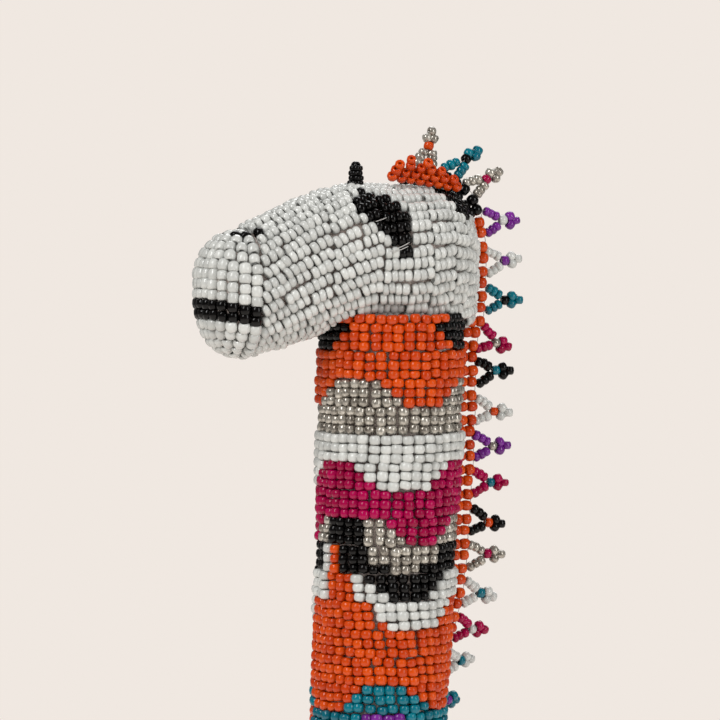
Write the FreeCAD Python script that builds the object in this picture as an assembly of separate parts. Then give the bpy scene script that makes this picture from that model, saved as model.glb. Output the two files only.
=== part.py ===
"""Bead-woven giraffe: stiff rods, stuffed cloth forms, bead skins, ears, horn, beaded mane, tail.

Units are millimetres. The body faces -Y and +Z is up. The model is drawn about the neck's top
axis and moved at the end, so that the origin is the centre of the base.
"""
import FreeCAD, Part
import math
import os
from FreeCAD import Vector

# --- driving dimensions -------------------------------------------------------------------------
BEAD = 3.0                # diameter of a skin bead, and the thickness of every bead skin
CLOTH = 0.8               # cloth cover under the beads
ROD_R = 1.6               # steel rods inside the legs, body and neck
ROD_END_GAP = 1.0         # bare end of a leg rod short of the hoof's bead floor
NECK_ROD_DROP = 18.4      # how far the neck rod reaches below the neck's foot
NECK_ROD_RISE = 16.0      # and above the jaw line, into the head
SPINE_FRONT = 44.0        # reach of the back's rod in front of the body's middle
SPINE_REAR = 48.0

JAW_Z = 411.0             # where the head meets the neck
NECK_FOOT_Z = 226.0       # lowest neck section, inside the shoulders
NECK_LEAN = 9.2           # how far the neck's foot stands in front of its top
NECK_WAIST_Z = 313.0
NECK_WAIST_R = 17.1
NECK_TOP_GROWTH = 1.4
NECK_FOOT_GROWTH = 5.0

HEAD_YAW = -30.0          # degrees the head is turned from the body, about +Z
TWIST_HIGH_Z = 355.0      # the neck's seam twists between these two heights
TWIST_LOW_Z = 305.0

SKULL_BACK = 21.0         # back of the head behind the neck's axis
SKULL_ROUND = 13.0        # rounding between the head's top and back
SKULL_TOP = 33.6          # top of the head above the jaw line
SKULL_JOIN_RISE = 4.0     # the skull's back closes in to the neck's width from here above the jaw
SKULL_JOIN_DROP = 8.0     # to here below it
SNOUT_END = 50.5          # tip of the muzzle in front of the neck's axis
SNOUT_POWER = 2.3         # squareness of the muzzle's end, seen from above
MUZZLE_SEAM = 38.0        # where the muzzle patch starts
HEAD_POWER = 2.4          # squareness of the head's cross-section
HEAD_STATIONS = (-14.0, -7.0, 0.0, 5.5, 11.0, 17.5, 24.0, 32.0, 40.0)
BACK_STATIONS = (0.4, 2.5)              # more sections, at these distances from the back
SNOUT_STATIONS = (6.0, 3.0, 0.9, 0.15)  # and from the tip of the muzzle
HEAD_CURVE_POINTS = 20
SEAT_MARGIN = 1.0         # how much wider than the neck the head's flat seat is
# distance in front of the neck's axis, top, bottom (both from the jaw line), half width
HEAD_KEYS = (
    (0.0, 33.6, -2.0, 19.5),
    (11.0, 33.6, -0.8, 17.6),
    (24.0, 30.2, -4.6, 14.8),
    (40.0, 22.8, -8.8, 13.6),
)

BODY_R = 33.0
BODY_LENGTH = 122.0
BODY_ROUND = 25.0
BODY_CENTRE_Y = 27.0
BODY_CENTRE_Z = 203.0
BODY_SLOPE = 7.0          # degrees the back falls towards the rump

LEG_X = 17.5
FRONT_LEG_Y = -13.0
REAR_LEG_Y = 65.0
LEG_TOP_R = 14.5
LEG_FOOT_R = 11.0
HOOF_R = 13.0
HOOF_HEIGHT = 14.0
HOOF_LIP = 1.0            # how far the hoof's top stands out round the leg
LEG_TOP_Z = 205.0

MANE_HEIGHT = 4.0         # how far the mane band stands out of the skin
MANE_HALF = 1.3
MANE_GAP = 0.6            # clearance of sewn-on pieces from the skin below
MANE_START = 112.0        # degrees on the head's back arc where the mane begins
PICOT_COUNT = 24
PICOT_CLOSE_COUNT = 3      # the first picots are narrower and sit closer together
PICOT_PITCH = 9.1
PICOT_CLOSE_PITCH = 5.2
PICOT_CLOSE_FIRST = 5.6   # distance of the first close picot's middle from the mane's start
PICOT_FIRST = 22.7        # and of the first full-width picot's middle
PICOT_HALF_SPAN = 3.05
PICOT_CLOSE_HALF_SPAN = 2.2
PICOT_BEAD_R = 1.15
PICOT_MIDDLE = 5.26       # distance of the arms' meeting point from the mane's edge
PICOT_ARM_SPREAD = 0.5    # sideways distance of each arm's end from the middle
PICOT_LOOP = 1.7          # distance of the loop's two side beads beyond the meeting point
PICOT_LOOP_SPREAD = 1.1
PICOT_TIP = 9.15          # distance of the tip bead's centre from the mane's edge
PICOT_LEAN = 6.0          # largest tip of a picot up or down the mane, in degrees
LEAN_STEP = 2.4           # the lean's phase grows by this from one picot to the next, in radians
LEAN_START = 0.6
PICOT_GAP = 0.75          # clearance of its first beads from the mane band

TAIL_R = 2.6
TAIL_LENGTH = 52.0
TASSEL_LENGTH = 30.0
TASSEL_R = 4.5

EAR_PLACES = {            # sideways place of the sewn edge's front and back, outward tilt in degrees
    "left": (8.0, 8.0, 24.0),
    "right": (-14.6, -12.0, 95.0),
}
EAR_FRONT = 3.0           # front of the sewn edge, in front of the neck's axis
EAR_LENGTH = 17.0
EAR_LIFT = 1.3            # clearance of the sewn edge above the head's highest bulge below it
EAR_HALF = 1.3
EAR_OUTLINE = ((0, 0.4), (0.3, 2.8), (4.2, 6.2), (7.5, 5.6), (12.5, 3.8), (16.8, 1.3), (16.6, 0.4))

HORN_FORWARD = 9.3
HORN_FOOT_R = 1.9
HORN_TIP_R = 1.3
HORN_HEIGHT = 4.6
HORN_SINK = 1.0           # depth of the horn's foot below the head's top

TAIL_RISE = 5.0           # the knot's height above the body's axis
TAIL_GAP = 0.5
TASSEL_GAP = 1.2
TASSEL_NECK_R = 1.5
TASSEL_SHOULDER_R = 3.4
TASSEL_SHOULDER = 4.0

FAR = 400.0               # larger than anything cut or kept
THINNEST = 0.6            # smallest half size of a head section
NECK_STEPS = 9            # sections of the neck's form
MANE_STEPS = 46           # sections of the mane band
EAR_STEPS = 8             # spots at which the ear's edge is held above the head


# --- shared curves ------------------------------------------------------------------------------
def smooth(t):
    """Ease from 0 to 1 while t goes from 0 to 1."""
    t = min(max(t, 0.0), 1.0)
    return t * t * (3.0 - 2.0 * t)


def neck_axis(z):
    """Centre of the neck at a height."""
    t = (JAW_Z - z) / (JAW_Z - NECK_FOOT_Z)
    t = min(max(t, 0.0), 1.0)
    return Vector(0, -NECK_LEAN * (1.0 - math.cos(math.pi * t)) / 2.0, z)


def neck_radius(z):
    if z >= NECK_WAIST_Z:
        return NECK_WAIST_R + NECK_TOP_GROWTH * smooth((z - NECK_WAIST_Z) / (JAW_Z - NECK_WAIST_Z))
    drop = (NECK_WAIST_Z - z) / (NECK_WAIST_Z - NECK_FOOT_Z)
    return NECK_WAIST_R + NECK_FOOT_GROWTH * drop * drop


def seam_yaw(z):
    """Turn of the neck's back seam from straight behind, in degrees."""
    return HEAD_YAW * smooth((z - TWIST_LOW_Z) / (TWIST_HIGH_Z - TWIST_LOW_Z))


def turned(vector, degrees):
    """Turn a vector about +Z."""
    return FreeCAD.Rotation(Vector(0, 0, 1), degrees).multVec(vector)


def head_place(x, u, z):
    """Head coordinates (right side, forward, above the jaw line) to the model."""
    return turned(Vector(x, -u, 0), HEAD_YAW) + Vector(0, 0, JAW_Z + z)


def hermite(keys, u):
    """Smooth value of each column of keys at u, with slopes taken from the neighbours."""
    last = len(keys) - 1
    i = max(k for k in range(last) if keys[k][0] <= u or k == 0)
    low, high = keys[i], keys[i + 1]
    before = keys[max(i - 1, 0)]
    after = keys[min(i + 2, last)]
    span = high[0] - low[0]
    t = (u - low[0]) / span
    values = []
    for a, b, c, d in zip(before[1:], low[1:], high[1:], after[1:]):
        slope_low = (c - a) / (high[0] - before[0]) * span
        slope_high = (d - b) / (after[0] - low[0]) * span
        h1 = 2 * t**3 - 3 * t**2 + 1
        h2 = t**3 - 2 * t**2 + t
        h3 = 3 * t**2 - 2 * t**3
        h4 = t**3 - t**2
        values.append(h1 * b + h2 * slope_low + h3 * c + h4 * slope_high)
    return values


def head_section(u):
    """Top, bottom and half width of the head at a distance in front of the neck's axis."""
    flat_end = HEAD_KEYS[-1][0]
    if u < 0:
        top, bottom, half = HEAD_KEYS[0][1:]
        behind = -u
        start = SKULL_BACK - SKULL_ROUND
        if behind > start:
            drop = math.sqrt(max(SKULL_ROUND**2 - (behind - start) ** 2, 0.0))
            top = SKULL_TOP - SKULL_ROUND + drop
        return top, bottom, half * math.sqrt(max(1.0 - (behind / (SKULL_BACK + 0.1)) ** 2, 0.0))
    if u <= flat_end:
        return hermite(HEAD_KEYS, u)
    top, bottom, half = HEAD_KEYS[-1][1:]
    shrink = (1.0 - ((u - flat_end) / (SNOUT_END - flat_end)) ** SNOUT_POWER) ** (1 / SNOUT_POWER)
    middle = (top + bottom) / 2
    rise = (top - bottom) / 2 * shrink
    return middle + rise, middle - rise, half * shrink


# --- solids -------------------------------------------------------------------------------------
def neck_solid(inset):
    """The neck's form, shrunk by inset, from inside the shoulders to the jaw line."""
    wires = []
    for k in range(NECK_STEPS + 1):
        z = NECK_FOOT_Z + (JAW_Z - NECK_FOOT_Z) * k / NECK_STEPS
        circle = Part.makeCircle(neck_radius(z) - inset, neck_axis(z), Vector(0, 0, 1))
        wires.append(Part.Wire(circle))
    return Part.makeLoft(wires, True, False)


def head_wire(u, inset):
    """One closed cross-section of the head."""
    top, bottom, half = head_section(u)
    middle = (top + bottom) / 2
    rise = max((top - bottom) / 2 - inset, THINNEST)
    half = max(half - inset, THINNEST)
    points = []
    for k in range(HEAD_CURVE_POINTS):
        angle = 2 * math.pi * k / HEAD_CURVE_POINTS
        c, s = math.cos(angle), math.sin(angle)
        x = half * math.copysign(abs(c) ** (2 / HEAD_POWER), c)
        z = middle + rise * math.copysign(abs(s) ** (2 / HEAD_POWER), s)
        points.append(head_place(x, u, z))
    curve = Part.BSplineCurve()
    curve.interpolate(Points=points, PeriodicFlag=True)
    return Part.Wire(curve.toShape())


def head_solid(inset):
    """The head's form, shrunk by inset, with a flat seat where the neck meets it."""
    stations = [inset - SKULL_BACK + gap for gap in BACK_STATIONS]
    stations += HEAD_STATIONS
    stations += [SNOUT_END - inset - gap for gap in SNOUT_STATIONS]
    form = Part.makeLoft([head_wire(u, inset) for u in stations], True, False)
    seat_top = Vector(0, 0, JAW_Z)
    seat = Part.makeCylinder(neck_radius(JAW_Z) + SEAT_MARGIN, FAR, seat_top, Vector(0, 0, -1))
    return form.cut(seat)


def body_place(shape):
    shape.rotate(Vector(0, 0, 0), Vector(1, 0, 0), -BODY_SLOPE)
    shape.translate(Vector(0, BODY_CENTRE_Y, BODY_CENTRE_Z))
    return shape


def body_solid(inset):
    """A rounded bolster along the back."""
    length = BODY_LENGTH - 2 * inset
    form = Part.makeCylinder(BODY_R - inset, length, Vector(0, -length / 2, 0), Vector(0, 1, 0))
    rims = [edge for edge in form.Edges if edge.Closed]
    return body_place(form.makeFillet(BODY_ROUND - inset, rims))


def leg_solid(x, y, inset):
    """A tapered leg from the hoof's top to inside the body."""
    height = LEG_TOP_Z - HOOF_HEIGHT
    return Part.makeCone(LEG_FOOT_R - inset, LEG_TOP_R - inset, height, Vector(x, y, HOOF_HEIGHT))


def hoof_solid(x, y):
    """A bead hoof with a flat sole, hollow for the foot of the leg's core."""
    outer = Part.makeCone(HOOF_R, LEG_FOOT_R + HOOF_LIP, HOOF_HEIGHT, Vector(x, y, 0))
    hollow = Part.makeCylinder(LEG_FOOT_R - BEAD, HOOF_HEIGHT, Vector(x, y, BEAD))
    return outer.cut(hollow)


def layers(solid_of, cover=True):
    """Bead skin, cloth cover and filling of a form, from the outside in."""
    outer = solid_of(0)
    lining = solid_of(BEAD)
    if not cover:
        return outer.cut(lining), lining
    filling = solid_of(BEAD + CLOTH)
    return outer.cut(lining), lining.cut(filling), filling


# --- mane ---------------------------------------------------------------------------------------
def mane_path(s):
    """Skin point, outward direction and downward direction of the mane at a length s."""
    arc = math.radians(MANE_START)
    arc_length = arc * SKULL_ROUND
    if s < arc_length:
        angle = arc - s / SKULL_ROUND
        behind = SKULL_BACK - SKULL_ROUND + SKULL_ROUND * math.cos(angle)
        z = JAW_Z + SKULL_TOP - SKULL_ROUND + SKULL_ROUND * math.sin(angle)
        out = turned(Vector(0, math.cos(angle), math.sin(angle)), HEAD_YAW)
        down = turned(Vector(0, math.sin(angle), -math.cos(angle)), HEAD_YAW)
        return turned(Vector(0, behind, z), HEAD_YAW), out, down
    z = JAW_Z + SKULL_TOP - SKULL_ROUND - (s - arc_length)
    step_in = SKULL_BACK - neck_radius(JAW_Z)
    joined = (JAW_Z + SKULL_JOIN_RISE - z) / (SKULL_JOIN_RISE + SKULL_JOIN_DROP)
    radius = SKULL_BACK - step_in * smooth(joined)
    if z < JAW_Z - SKULL_JOIN_DROP:
        radius = neck_radius(z)
    out = turned(Vector(0, 1, 0), seam_yaw(z))
    centre = neck_axis(z)
    return centre + out * radius, out, Vector(0, 0, -1)


def picot_place(index):
    """Length along the mane at the middle of a picot."""
    if index < PICOT_CLOSE_COUNT:
        return PICOT_CLOSE_FIRST + PICOT_CLOSE_PITCH * index
    return PICOT_FIRST + PICOT_PITCH * (index - PICOT_CLOSE_COUNT)


def picot_half_span(index):
    if index < PICOT_CLOSE_COUNT:
        return PICOT_CLOSE_HALF_SPAN
    return PICOT_HALF_SPAN


def mane_length():
    return picot_place(PICOT_COUNT - 1) + PICOT_PITCH / 2


def mane_section(s):
    """Rectangle across the mane band."""
    skin, out, down = mane_path(s)
    side = out.cross(down).normalize() * MANE_HALF
    low = skin + out * MANE_GAP
    high = skin + out * MANE_HEIGHT
    return Part.makePolygon([low - side, low + side, high + side, high - side, low - side])


def mane_band():
    """The thin upright band of rungs along the back of the head and neck."""
    length = mane_length()
    wires = [mane_section(length * k / MANE_STEPS) for k in range(MANE_STEPS + 1)]
    return Part.makeLoft(wires, True, True)


def rounded_bar(start, end, radius):
    """A bar with ball ends."""
    along = end - start
    bar = Part.makeCylinder(radius, along.Length, start, along)
    return bar.fuse([Part.makeSphere(radius, start), Part.makeSphere(radius, end)])


def picot_form(half_span):
    """One picot: two arms that meet at a middle bead, with a three-bead loop at the tip."""
    r = PICOT_BEAD_R
    root = r + PICOT_GAP
    shapes = []
    for side in (-1, 1):
        start = Vector(root, side * half_span, 0)
        shapes.append(rounded_bar(start, Vector(PICOT_MIDDLE, side * PICOT_ARM_SPREAD, 0), r))
        loop = Vector(PICOT_MIDDLE + PICOT_LOOP, side * PICOT_LOOP_SPREAD, 0)
        shapes.append(Part.makeSphere(r, loop))
    shapes.append(Part.makeSphere(r, Vector(PICOT_TIP, 0, 0)))
    return shapes[0].fuse(shapes[1:]).removeSplitter()


def picot_lean(index):
    """Hand-made unevenness: each picot tips up or down the mane a little, in degrees."""
    return PICOT_LEAN * math.sin(LEAN_STEP * index + LEAN_START)


def mane_edge(s):
    """Outer edge of the mane band."""
    skin, out, down = mane_path(s)
    return skin + out * MANE_HEIGHT


def picot_frame(index):
    """Hinge point, outward, downward and sideways directions of a picot on the mane's outer edge."""
    s = picot_place(index)
    half = picot_half_span(index)
    out = mane_path(s)[1]
    down = (mane_edge(s + half) - mane_edge(s - half)).normalize()
    out = (out - down * out.dot(down)).normalize()
    return mane_edge(s), out, down, out.cross(down)


def picot(form, index):
    root, out, down, side = picot_frame(index)
    seat = FreeCAD.Matrix(out.x, down.x, side.x, root.x,
                          out.y, down.y, side.y, root.y,
                          out.z, down.z, side.z, root.z)
    lean = FreeCAD.Placement(Vector(0, 0, 0), FreeCAD.Rotation(Vector(0, 0, 1), picot_lean(index)))
    shape = form.copy()
    shape.Placement = FreeCAD.Placement(seat) * lean
    return shape


# --- ears, horn, tail ---------------------------------------------------------------------------
def head_top(x, u):
    """Height of the head's upper surface above the jaw line."""
    top, bottom, half = head_section(u)
    middle = (top + bottom) / 2
    return middle + (top - middle) * (1.0 - (abs(x) / half) ** HEAD_POWER) ** (1 / HEAD_POWER)


def ear_frame(side):
    """Front of the ear's sewn edge, its direction, the way up the ear and the ear's face."""
    x_front, x_back, tilt = EAR_PLACES[side]
    spots = []
    for k in range(EAR_STEPS + 1):
        t = k / EAR_STEPS
        x = x_front + (x_back - x_front) * t
        u = EAR_FRONT - EAR_LENGTH * t
        spots.append((t, x, u, head_top(x, u)))
    low, high = spots[0], spots[-1]
    bulge = max(top - low[3] - (high[3] - low[3]) * t for t, x, u, top in spots)
    front = head_place(low[1], low[2], low[3] + bulge + EAR_LIFT)
    back = head_place(high[1], high[2], high[3] + bulge + EAR_LIFT)
    along = (back - front).normalize()
    outward = turned(Vector(math.copysign(1, x_front), 0, 0), HEAD_YAW)
    upright = (Vector(0, 0, 1) - along * along.z).normalize()
    lean = math.radians(tilt)
    rise = upright * math.cos(lean) + outward * math.sin(lean)
    rise = (rise - along * rise.dot(along)).normalize()
    return front, along, rise, along.cross(rise)


def ear(side):
    """A flap one bead thick, sewn on along its lower edge."""
    front, along, rise, face = ear_frame(side)
    points = [front + along * a + rise * h - face * EAR_HALF for a, h in EAR_OUTLINE]
    outline = Part.makePolygon(points + points[:1])
    return Part.Face(outline).extrude(face * (2 * EAR_HALF))


def horn():
    """A small tapered horn that stands on the head."""
    foot = head_place(0, HORN_FORWARD, SKULL_TOP - HORN_SINK)
    cone = Part.makeCone(HORN_FOOT_R, HORN_TIP_R, HORN_HEIGHT, foot)
    tip = Part.makeSphere(HORN_TIP_R, foot + Vector(0, 0, HORN_HEIGHT))
    return cone.fuse(tip).removeSplitter()


def tail_root():
    """Middle of the knot on the rump."""
    slope = math.radians(BODY_SLOPE)
    back = BODY_LENGTH / 2
    y = BODY_CENTRE_Y + back * math.cos(slope) + TAIL_RISE * math.sin(slope)
    z = BODY_CENTRE_Z - back * math.sin(slope) + TAIL_RISE * math.cos(slope)
    return Vector(0, y + TAIL_R, z)


def tassel_root():
    return tail_root() - Vector(0, 0, TAIL_R + TAIL_GAP + TAIL_LENGTH + TASSEL_GAP)


def tail_rope():
    top = tail_root() - Vector(0, 0, TAIL_R + TAIL_GAP)
    return Part.makeCylinder(TAIL_R, TAIL_LENGTH, top, Vector(0, 0, -1))


def tail_tassel():
    down = Vector(0, 0, -1)
    top = tassel_root()
    shoulder = Part.makeCone(TASSEL_NECK_R, TASSEL_SHOULDER_R, TASSEL_SHOULDER, top, down)
    skirt_top = top + down * TASSEL_SHOULDER
    skirt = Part.makeCone(TASSEL_SHOULDER_R, TASSEL_R, TASSEL_LENGTH - TASSEL_SHOULDER, skirt_top, down)
    return shoulder.fuse(skirt)


# --- assembly -----------------------------------------------------------------------------------
def rods():
    """Straight steel rods: one up the neck, one along the back, one in each leg."""
    foot = neck_axis(NECK_FOOT_Z) - Vector(0, 0, NECK_ROD_DROP)
    top = Vector(0, 0, JAW_Z + NECK_ROD_RISE)
    along = top - foot
    spine_start = body_place(Part.Vertex(0, -SPINE_FRONT, 0)).Point
    spine_end = body_place(Part.Vertex(0, SPINE_REAR, 0)).Point
    spine = spine_end - spine_start
    made = {
        "neck_rod": Part.makeCylinder(ROD_R, along.Length, foot, along),
        "spine_rod": Part.makeCylinder(ROD_R, spine.Length, spine_start, spine),
    }
    for name, x, y in legs():
        foot = Vector(x, y, BEAD + ROD_END_GAP)
        made["leg_rod_" + name] = Part.makeCylinder(ROD_R, LEG_TOP_Z - foot.z, foot)
    made["spine_rod"] = made["spine_rod"].cut(made["neck_rod"])
    return made


def legs():
    """Name and place of each leg; the giraffe's left is +X."""
    return (
        ("front_left", LEG_X, FRONT_LEG_Y),
        ("front_right", -LEG_X, FRONT_LEG_Y),
        ("rear_left", LEG_X, REAR_LEG_Y),
        ("rear_right", -LEG_X, REAR_LEG_Y),
    )


def build():
    """All nodes by name."""
    nodes = rods()
    bars = Part.makeCompound(list(nodes.values()))
    body_form = body_solid(0)

    skin, cloth, filling = layers(body_solid)
    nodes["body_beadwork"] = skin.cut(bars)
    nodes["body_cloth"] = cloth.cut(bars)
    nodes["body_stuffing"] = filling.cut(bars)

    skin, cloth, filling = layers(neck_solid)
    nodes["neck_beadwork"] = skin.cut(body_form)
    nodes["neck_cloth"] = cloth.cut(body_form)
    nodes["neck_stuffing"] = filling.cut(body_form).cut(bars)

    skin, cloth, filling = layers(head_solid)
    front = turned_box(MUZZLE_SEAM)
    nodes["head_beadwork"] = skin.cut(front).cut(bars)
    nodes["muzzle_beadwork"] = skin.common(front)
    nodes["head_cloth"] = cloth.cut(bars)
    nodes["head_stuffing"] = filling.cut(bars)

    for name, x, y in legs():
        skin, core = layers(lambda inset: leg_solid(x, y, inset), cover=False)
        foot = Part.makeCylinder(LEG_FOOT_R - BEAD, HOOF_HEIGHT - BEAD, Vector(x, y, BEAD))
        nodes["leg_beadwork_" + name] = skin.cut(body_form)
        nodes["leg_core_" + name] = core.fuse(foot).removeSplitter().cut(body_form).cut(bars)
        nodes["hoof_" + name] = hoof_solid(x, y)

    for side in EAR_PLACES:
        nodes["ear_" + side] = ear(side)
    nodes["forehead_horn"] = horn().cut(head_solid(0))

    nodes["mane_band"] = mane_band()
    for index in range(PICOT_COUNT):
        form = picot_form(picot_half_span(index))
        nodes["mane_picot_%02d" % (index + 1)] = picot(form, index)

    nodes["tail_knot"] = Part.makeSphere(TAIL_R, tail_root()).cut(body_form)
    nodes["tail_rope"] = tail_rope()
    nodes["tail_tassel"] = tail_tassel()
    return nodes


def turned_box(seam):
    """Everything of the head in front of the muzzle seam."""
    box = Part.makeBox(FAR, FAR, FAR, Vector(-FAR / 2, -FAR - seam, -FAR / 2))
    box.rotate(Vector(0, 0, 0), Vector(0, 0, 1), HEAD_YAW)
    box.translate(Vector(0, 0, JAW_Z))
    return box


def centring(nodes):
    """Shift that puts the middle of the base at the origin."""
    box = Part.makeCompound(list(nodes.values())).optimalBoundingBox(False, False)
    return Vector(-(box.XMin + box.XMax) / 2, -(box.YMin + box.YMax) / 2, -box.ZMin)


NODES = build()
SHIFT = centring(NODES)
os.makedirs("parts", exist_ok=True)
for name, shape in NODES.items():
    shape.translate(SHIFT)
    shape.exportStep("parts/%s.step" % name)
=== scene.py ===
"""Looks of the bead-woven giraffe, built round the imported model.

Lengths are millimetres in the drawing frame, whose upright axis runs through the top of the neck and
whose floor is z = 0. to_frame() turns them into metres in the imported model's frame.
"""
import math

import bpy
import numpy as np
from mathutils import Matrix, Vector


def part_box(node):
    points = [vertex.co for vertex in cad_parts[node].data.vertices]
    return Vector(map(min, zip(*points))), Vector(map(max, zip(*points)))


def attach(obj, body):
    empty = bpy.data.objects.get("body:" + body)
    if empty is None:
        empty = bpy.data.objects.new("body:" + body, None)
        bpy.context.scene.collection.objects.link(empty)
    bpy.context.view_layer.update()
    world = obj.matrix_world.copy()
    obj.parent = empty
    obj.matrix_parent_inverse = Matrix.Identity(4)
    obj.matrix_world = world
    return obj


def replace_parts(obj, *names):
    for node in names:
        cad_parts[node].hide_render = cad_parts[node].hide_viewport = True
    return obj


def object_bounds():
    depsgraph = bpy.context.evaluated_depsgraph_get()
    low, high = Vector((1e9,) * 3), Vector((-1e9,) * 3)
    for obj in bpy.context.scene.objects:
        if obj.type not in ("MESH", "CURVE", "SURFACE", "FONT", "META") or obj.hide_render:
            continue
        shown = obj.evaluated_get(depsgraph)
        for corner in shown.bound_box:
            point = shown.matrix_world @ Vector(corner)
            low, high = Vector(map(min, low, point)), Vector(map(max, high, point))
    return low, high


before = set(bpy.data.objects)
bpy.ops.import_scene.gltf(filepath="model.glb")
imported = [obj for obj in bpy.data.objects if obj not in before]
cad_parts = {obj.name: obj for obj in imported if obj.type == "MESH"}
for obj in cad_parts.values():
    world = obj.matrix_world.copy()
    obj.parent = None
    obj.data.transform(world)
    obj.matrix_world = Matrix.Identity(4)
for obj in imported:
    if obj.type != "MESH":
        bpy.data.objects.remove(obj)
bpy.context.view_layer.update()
RNG = np.random.default_rng(11)

# --- sizes shared with the CAD model ----------------------------------------------------------------
JAW_Z = 411.0
NECK_FOOT_Z = 226.0
NECK_LEAN = 9.2
NECK_WAIST_Z = 313.0
NECK_WAIST_R = 17.1
NECK_TOP_GROWTH = 1.4
NECK_FOOT_GROWTH = 5.0
HEAD_YAW = -30.0
TWIST_HIGH_Z = 355.0
TWIST_LOW_Z = 305.0
SKULL_BACK = 21.0
SKULL_ROUND = 13.0
SKULL_TOP = 33.6
SKULL_JOIN_RISE = 4.0
SKULL_JOIN_DROP = 8.0
SNOUT_END = 50.5
SNOUT_POWER = 2.3
MUZZLE_SEAM = 38.0
HEAD_POWER = 2.4
HEAD_KEYS = np.array(((0.0, 33.6, -2.0, 19.5), (11.0, 33.6, -0.8, 17.6),
                      (24.0, 30.2, -4.6, 14.8), (40.0, 22.8, -8.8, 13.6)))
BODY_R = 33.0
BODY_LENGTH = 122.0
BODY_ROUND = 25.0
BODY_CENTRE = np.array((0.0, 27.0, 203.0))
BODY_SLOPE = 7.0
LEG_X = 17.5
FRONT_LEG_Y = -13.0
REAR_LEG_Y = 65.0
LEG_TOP_R = 14.5
LEG_FOOT_R = 11.0
LEG_TOP_Z = 205.0
HOOF_R = 13.0
HOOF_HEIGHT = 14.0
HOOF_LIP = 1.0
MANE_HEIGHT = 4.0
MANE_START = math.radians(112.0)
PICOT_COUNT = 24
PICOT_CLOSE_COUNT = 3      # the first picots are narrower and sit closer together
PICOT_PITCH = 9.1
PICOT_CLOSE_PITCH = 5.2
PICOT_CLOSE_FIRST = 5.6
PICOT_FIRST = 22.7
PICOT_HALF_SPAN = 3.05
PICOT_CLOSE_HALF_SPAN = 2.2
PICOT_LEAN = 6.0
LEAN_STEP = 2.4
LEAN_START = 0.6
EAR_PLACES = {"left": (8.0, 8.0, 24.0), "right": (-14.6, -12.0, 95.0)}
EAR_FRONT = 3.0
EAR_LENGTH = 17.0
EAR_LIFT = 1.3
HORN_FORWARD = 9.3

# --- beads ------------------------------------------------------------------------------------------
COLUMN = 2.95             # width that one column of skin beads takes
ROW = 2.24                # length that one row of skin beads takes
SKIN_BEAD_R = 1.46
SKIN_BEAD_HALF = 1.1
STACK = 3                 # rows that share their columns before the next ones step half a column
PALETTE = ("white", "orange", "magenta", "teal", "purple", "black", "silver")
KIND_SIZES = np.array((1.06, 1.0, 1.0, 1.0, 1.0, 0.95, 0.93))   # size of each colour in the palette
KIND_LIFT = 5.0           # how far the larger kinds stand out of the skin, per share of size
# outline of one side of a bead's section: distance from the hole's axis and along it, as parts of its size
FINE_OUTLINE = ((0.40, -0.82), (0.66, -1.0), (0.91, -0.68), (1.0, 0.0),
                (0.91, 0.68), (0.66, 1.0), (0.40, 0.82))
PLAIN_OUTLINE = ((0.40, -0.84), (0.74, -0.97), (1.0, -0.38), (1.0, 0.38), (0.74, 0.97), (0.40, 0.84))
FINE = (FINE_OUTLINE, 10)
PLAIN = (PLAIN_OUTLINE, 8)


def unit(vectors):
    return vectors / np.linalg.norm(vectors, axis=-1, keepdims=True)


def smooth(t):
    t = np.clip(t, 0.0, 1.0)
    return t * t * (3.0 - 2.0 * t)


def drawing_origin():
    """Where the drawing frame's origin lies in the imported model's frame, in millimetres."""
    low, high = (np.array(corner) * 1000 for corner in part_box("hoof_front_left"))
    return (low + high) / 2 - np.array((LEG_X, FRONT_LEG_Y, (high[2] - low[2]) / 2))


ORIGIN = drawing_origin()


def to_frame(points):
    return (np.asarray(points, float) + ORIGIN) / 1000


class Beads:
    """A batch of beads: centres, hole directions, outward directions, sizes and colours."""

    def __init__(self):
        self.parts = []

    def add(self, centres, holes, outs, radius, half, colours):
        centres = np.atleast_2d(centres)
        count = len(centres)
        if count == 0:
            return
        spread = lambda value, width: np.broadcast_to(np.asarray(value, float), (count, width))
        self.parts.append(np.hstack((
            centres, spread(holes, 3), spread(outs, 3), np.reshape(np.broadcast_to(radius, count), (-1, 1)),
            np.reshape(np.broadcast_to(half, count), (-1, 1)),
            np.reshape(np.broadcast_to(colours, count), (-1, 1)))))

    def table(self):
        return np.vstack(self.parts)


def bead_corners(table, outline, sides):
    """Corners of every bead, ring by ring, each bead turned round its hole by a random amount."""
    centres, radius, half = table[:, 0:3], table[:, 9], table[:, 10]
    hole = unit(table[:, 3:6])
    out = table[:, 6:9]
    out = unit(out - hole * np.sum(out * hole, axis=1, keepdims=True))
    side = np.cross(hole, out)
    turn = RNG.uniform(0, 2 * math.pi, len(table))
    angle = turn[:, None] + np.arange(sides) * 2 * math.pi / sides
    around = np.cos(angle)[..., None] * out[:, None] + np.sin(angle)[..., None] * side[:, None]
    reach = radius[:, None] * outline[:, 0]
    along = half[:, None] * outline[:, 1]
    corners = centres[:, None, None] + reach[:, :, None, None] * around[:, None]
    return corners + along[:, :, None, None] * hole[:, None, None]


def bead_faces(count, rings, sides):
    """Corner numbers of the four-sided faces of all beads, one after another."""
    ring, step = np.meshgrid(np.arange(rings), np.arange(sides), indexing="ij")
    next_ring, next_step = (ring + 1) % rings, (step + 1) % sides
    quad = np.stack((ring * sides + step, ring * sides + next_step,
                     next_ring * sides + next_step, next_ring * sides + step), axis=-1).reshape(-1, 4)
    return (np.arange(count)[:, None, None] * rings * sides + quad).reshape(-1)


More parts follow.
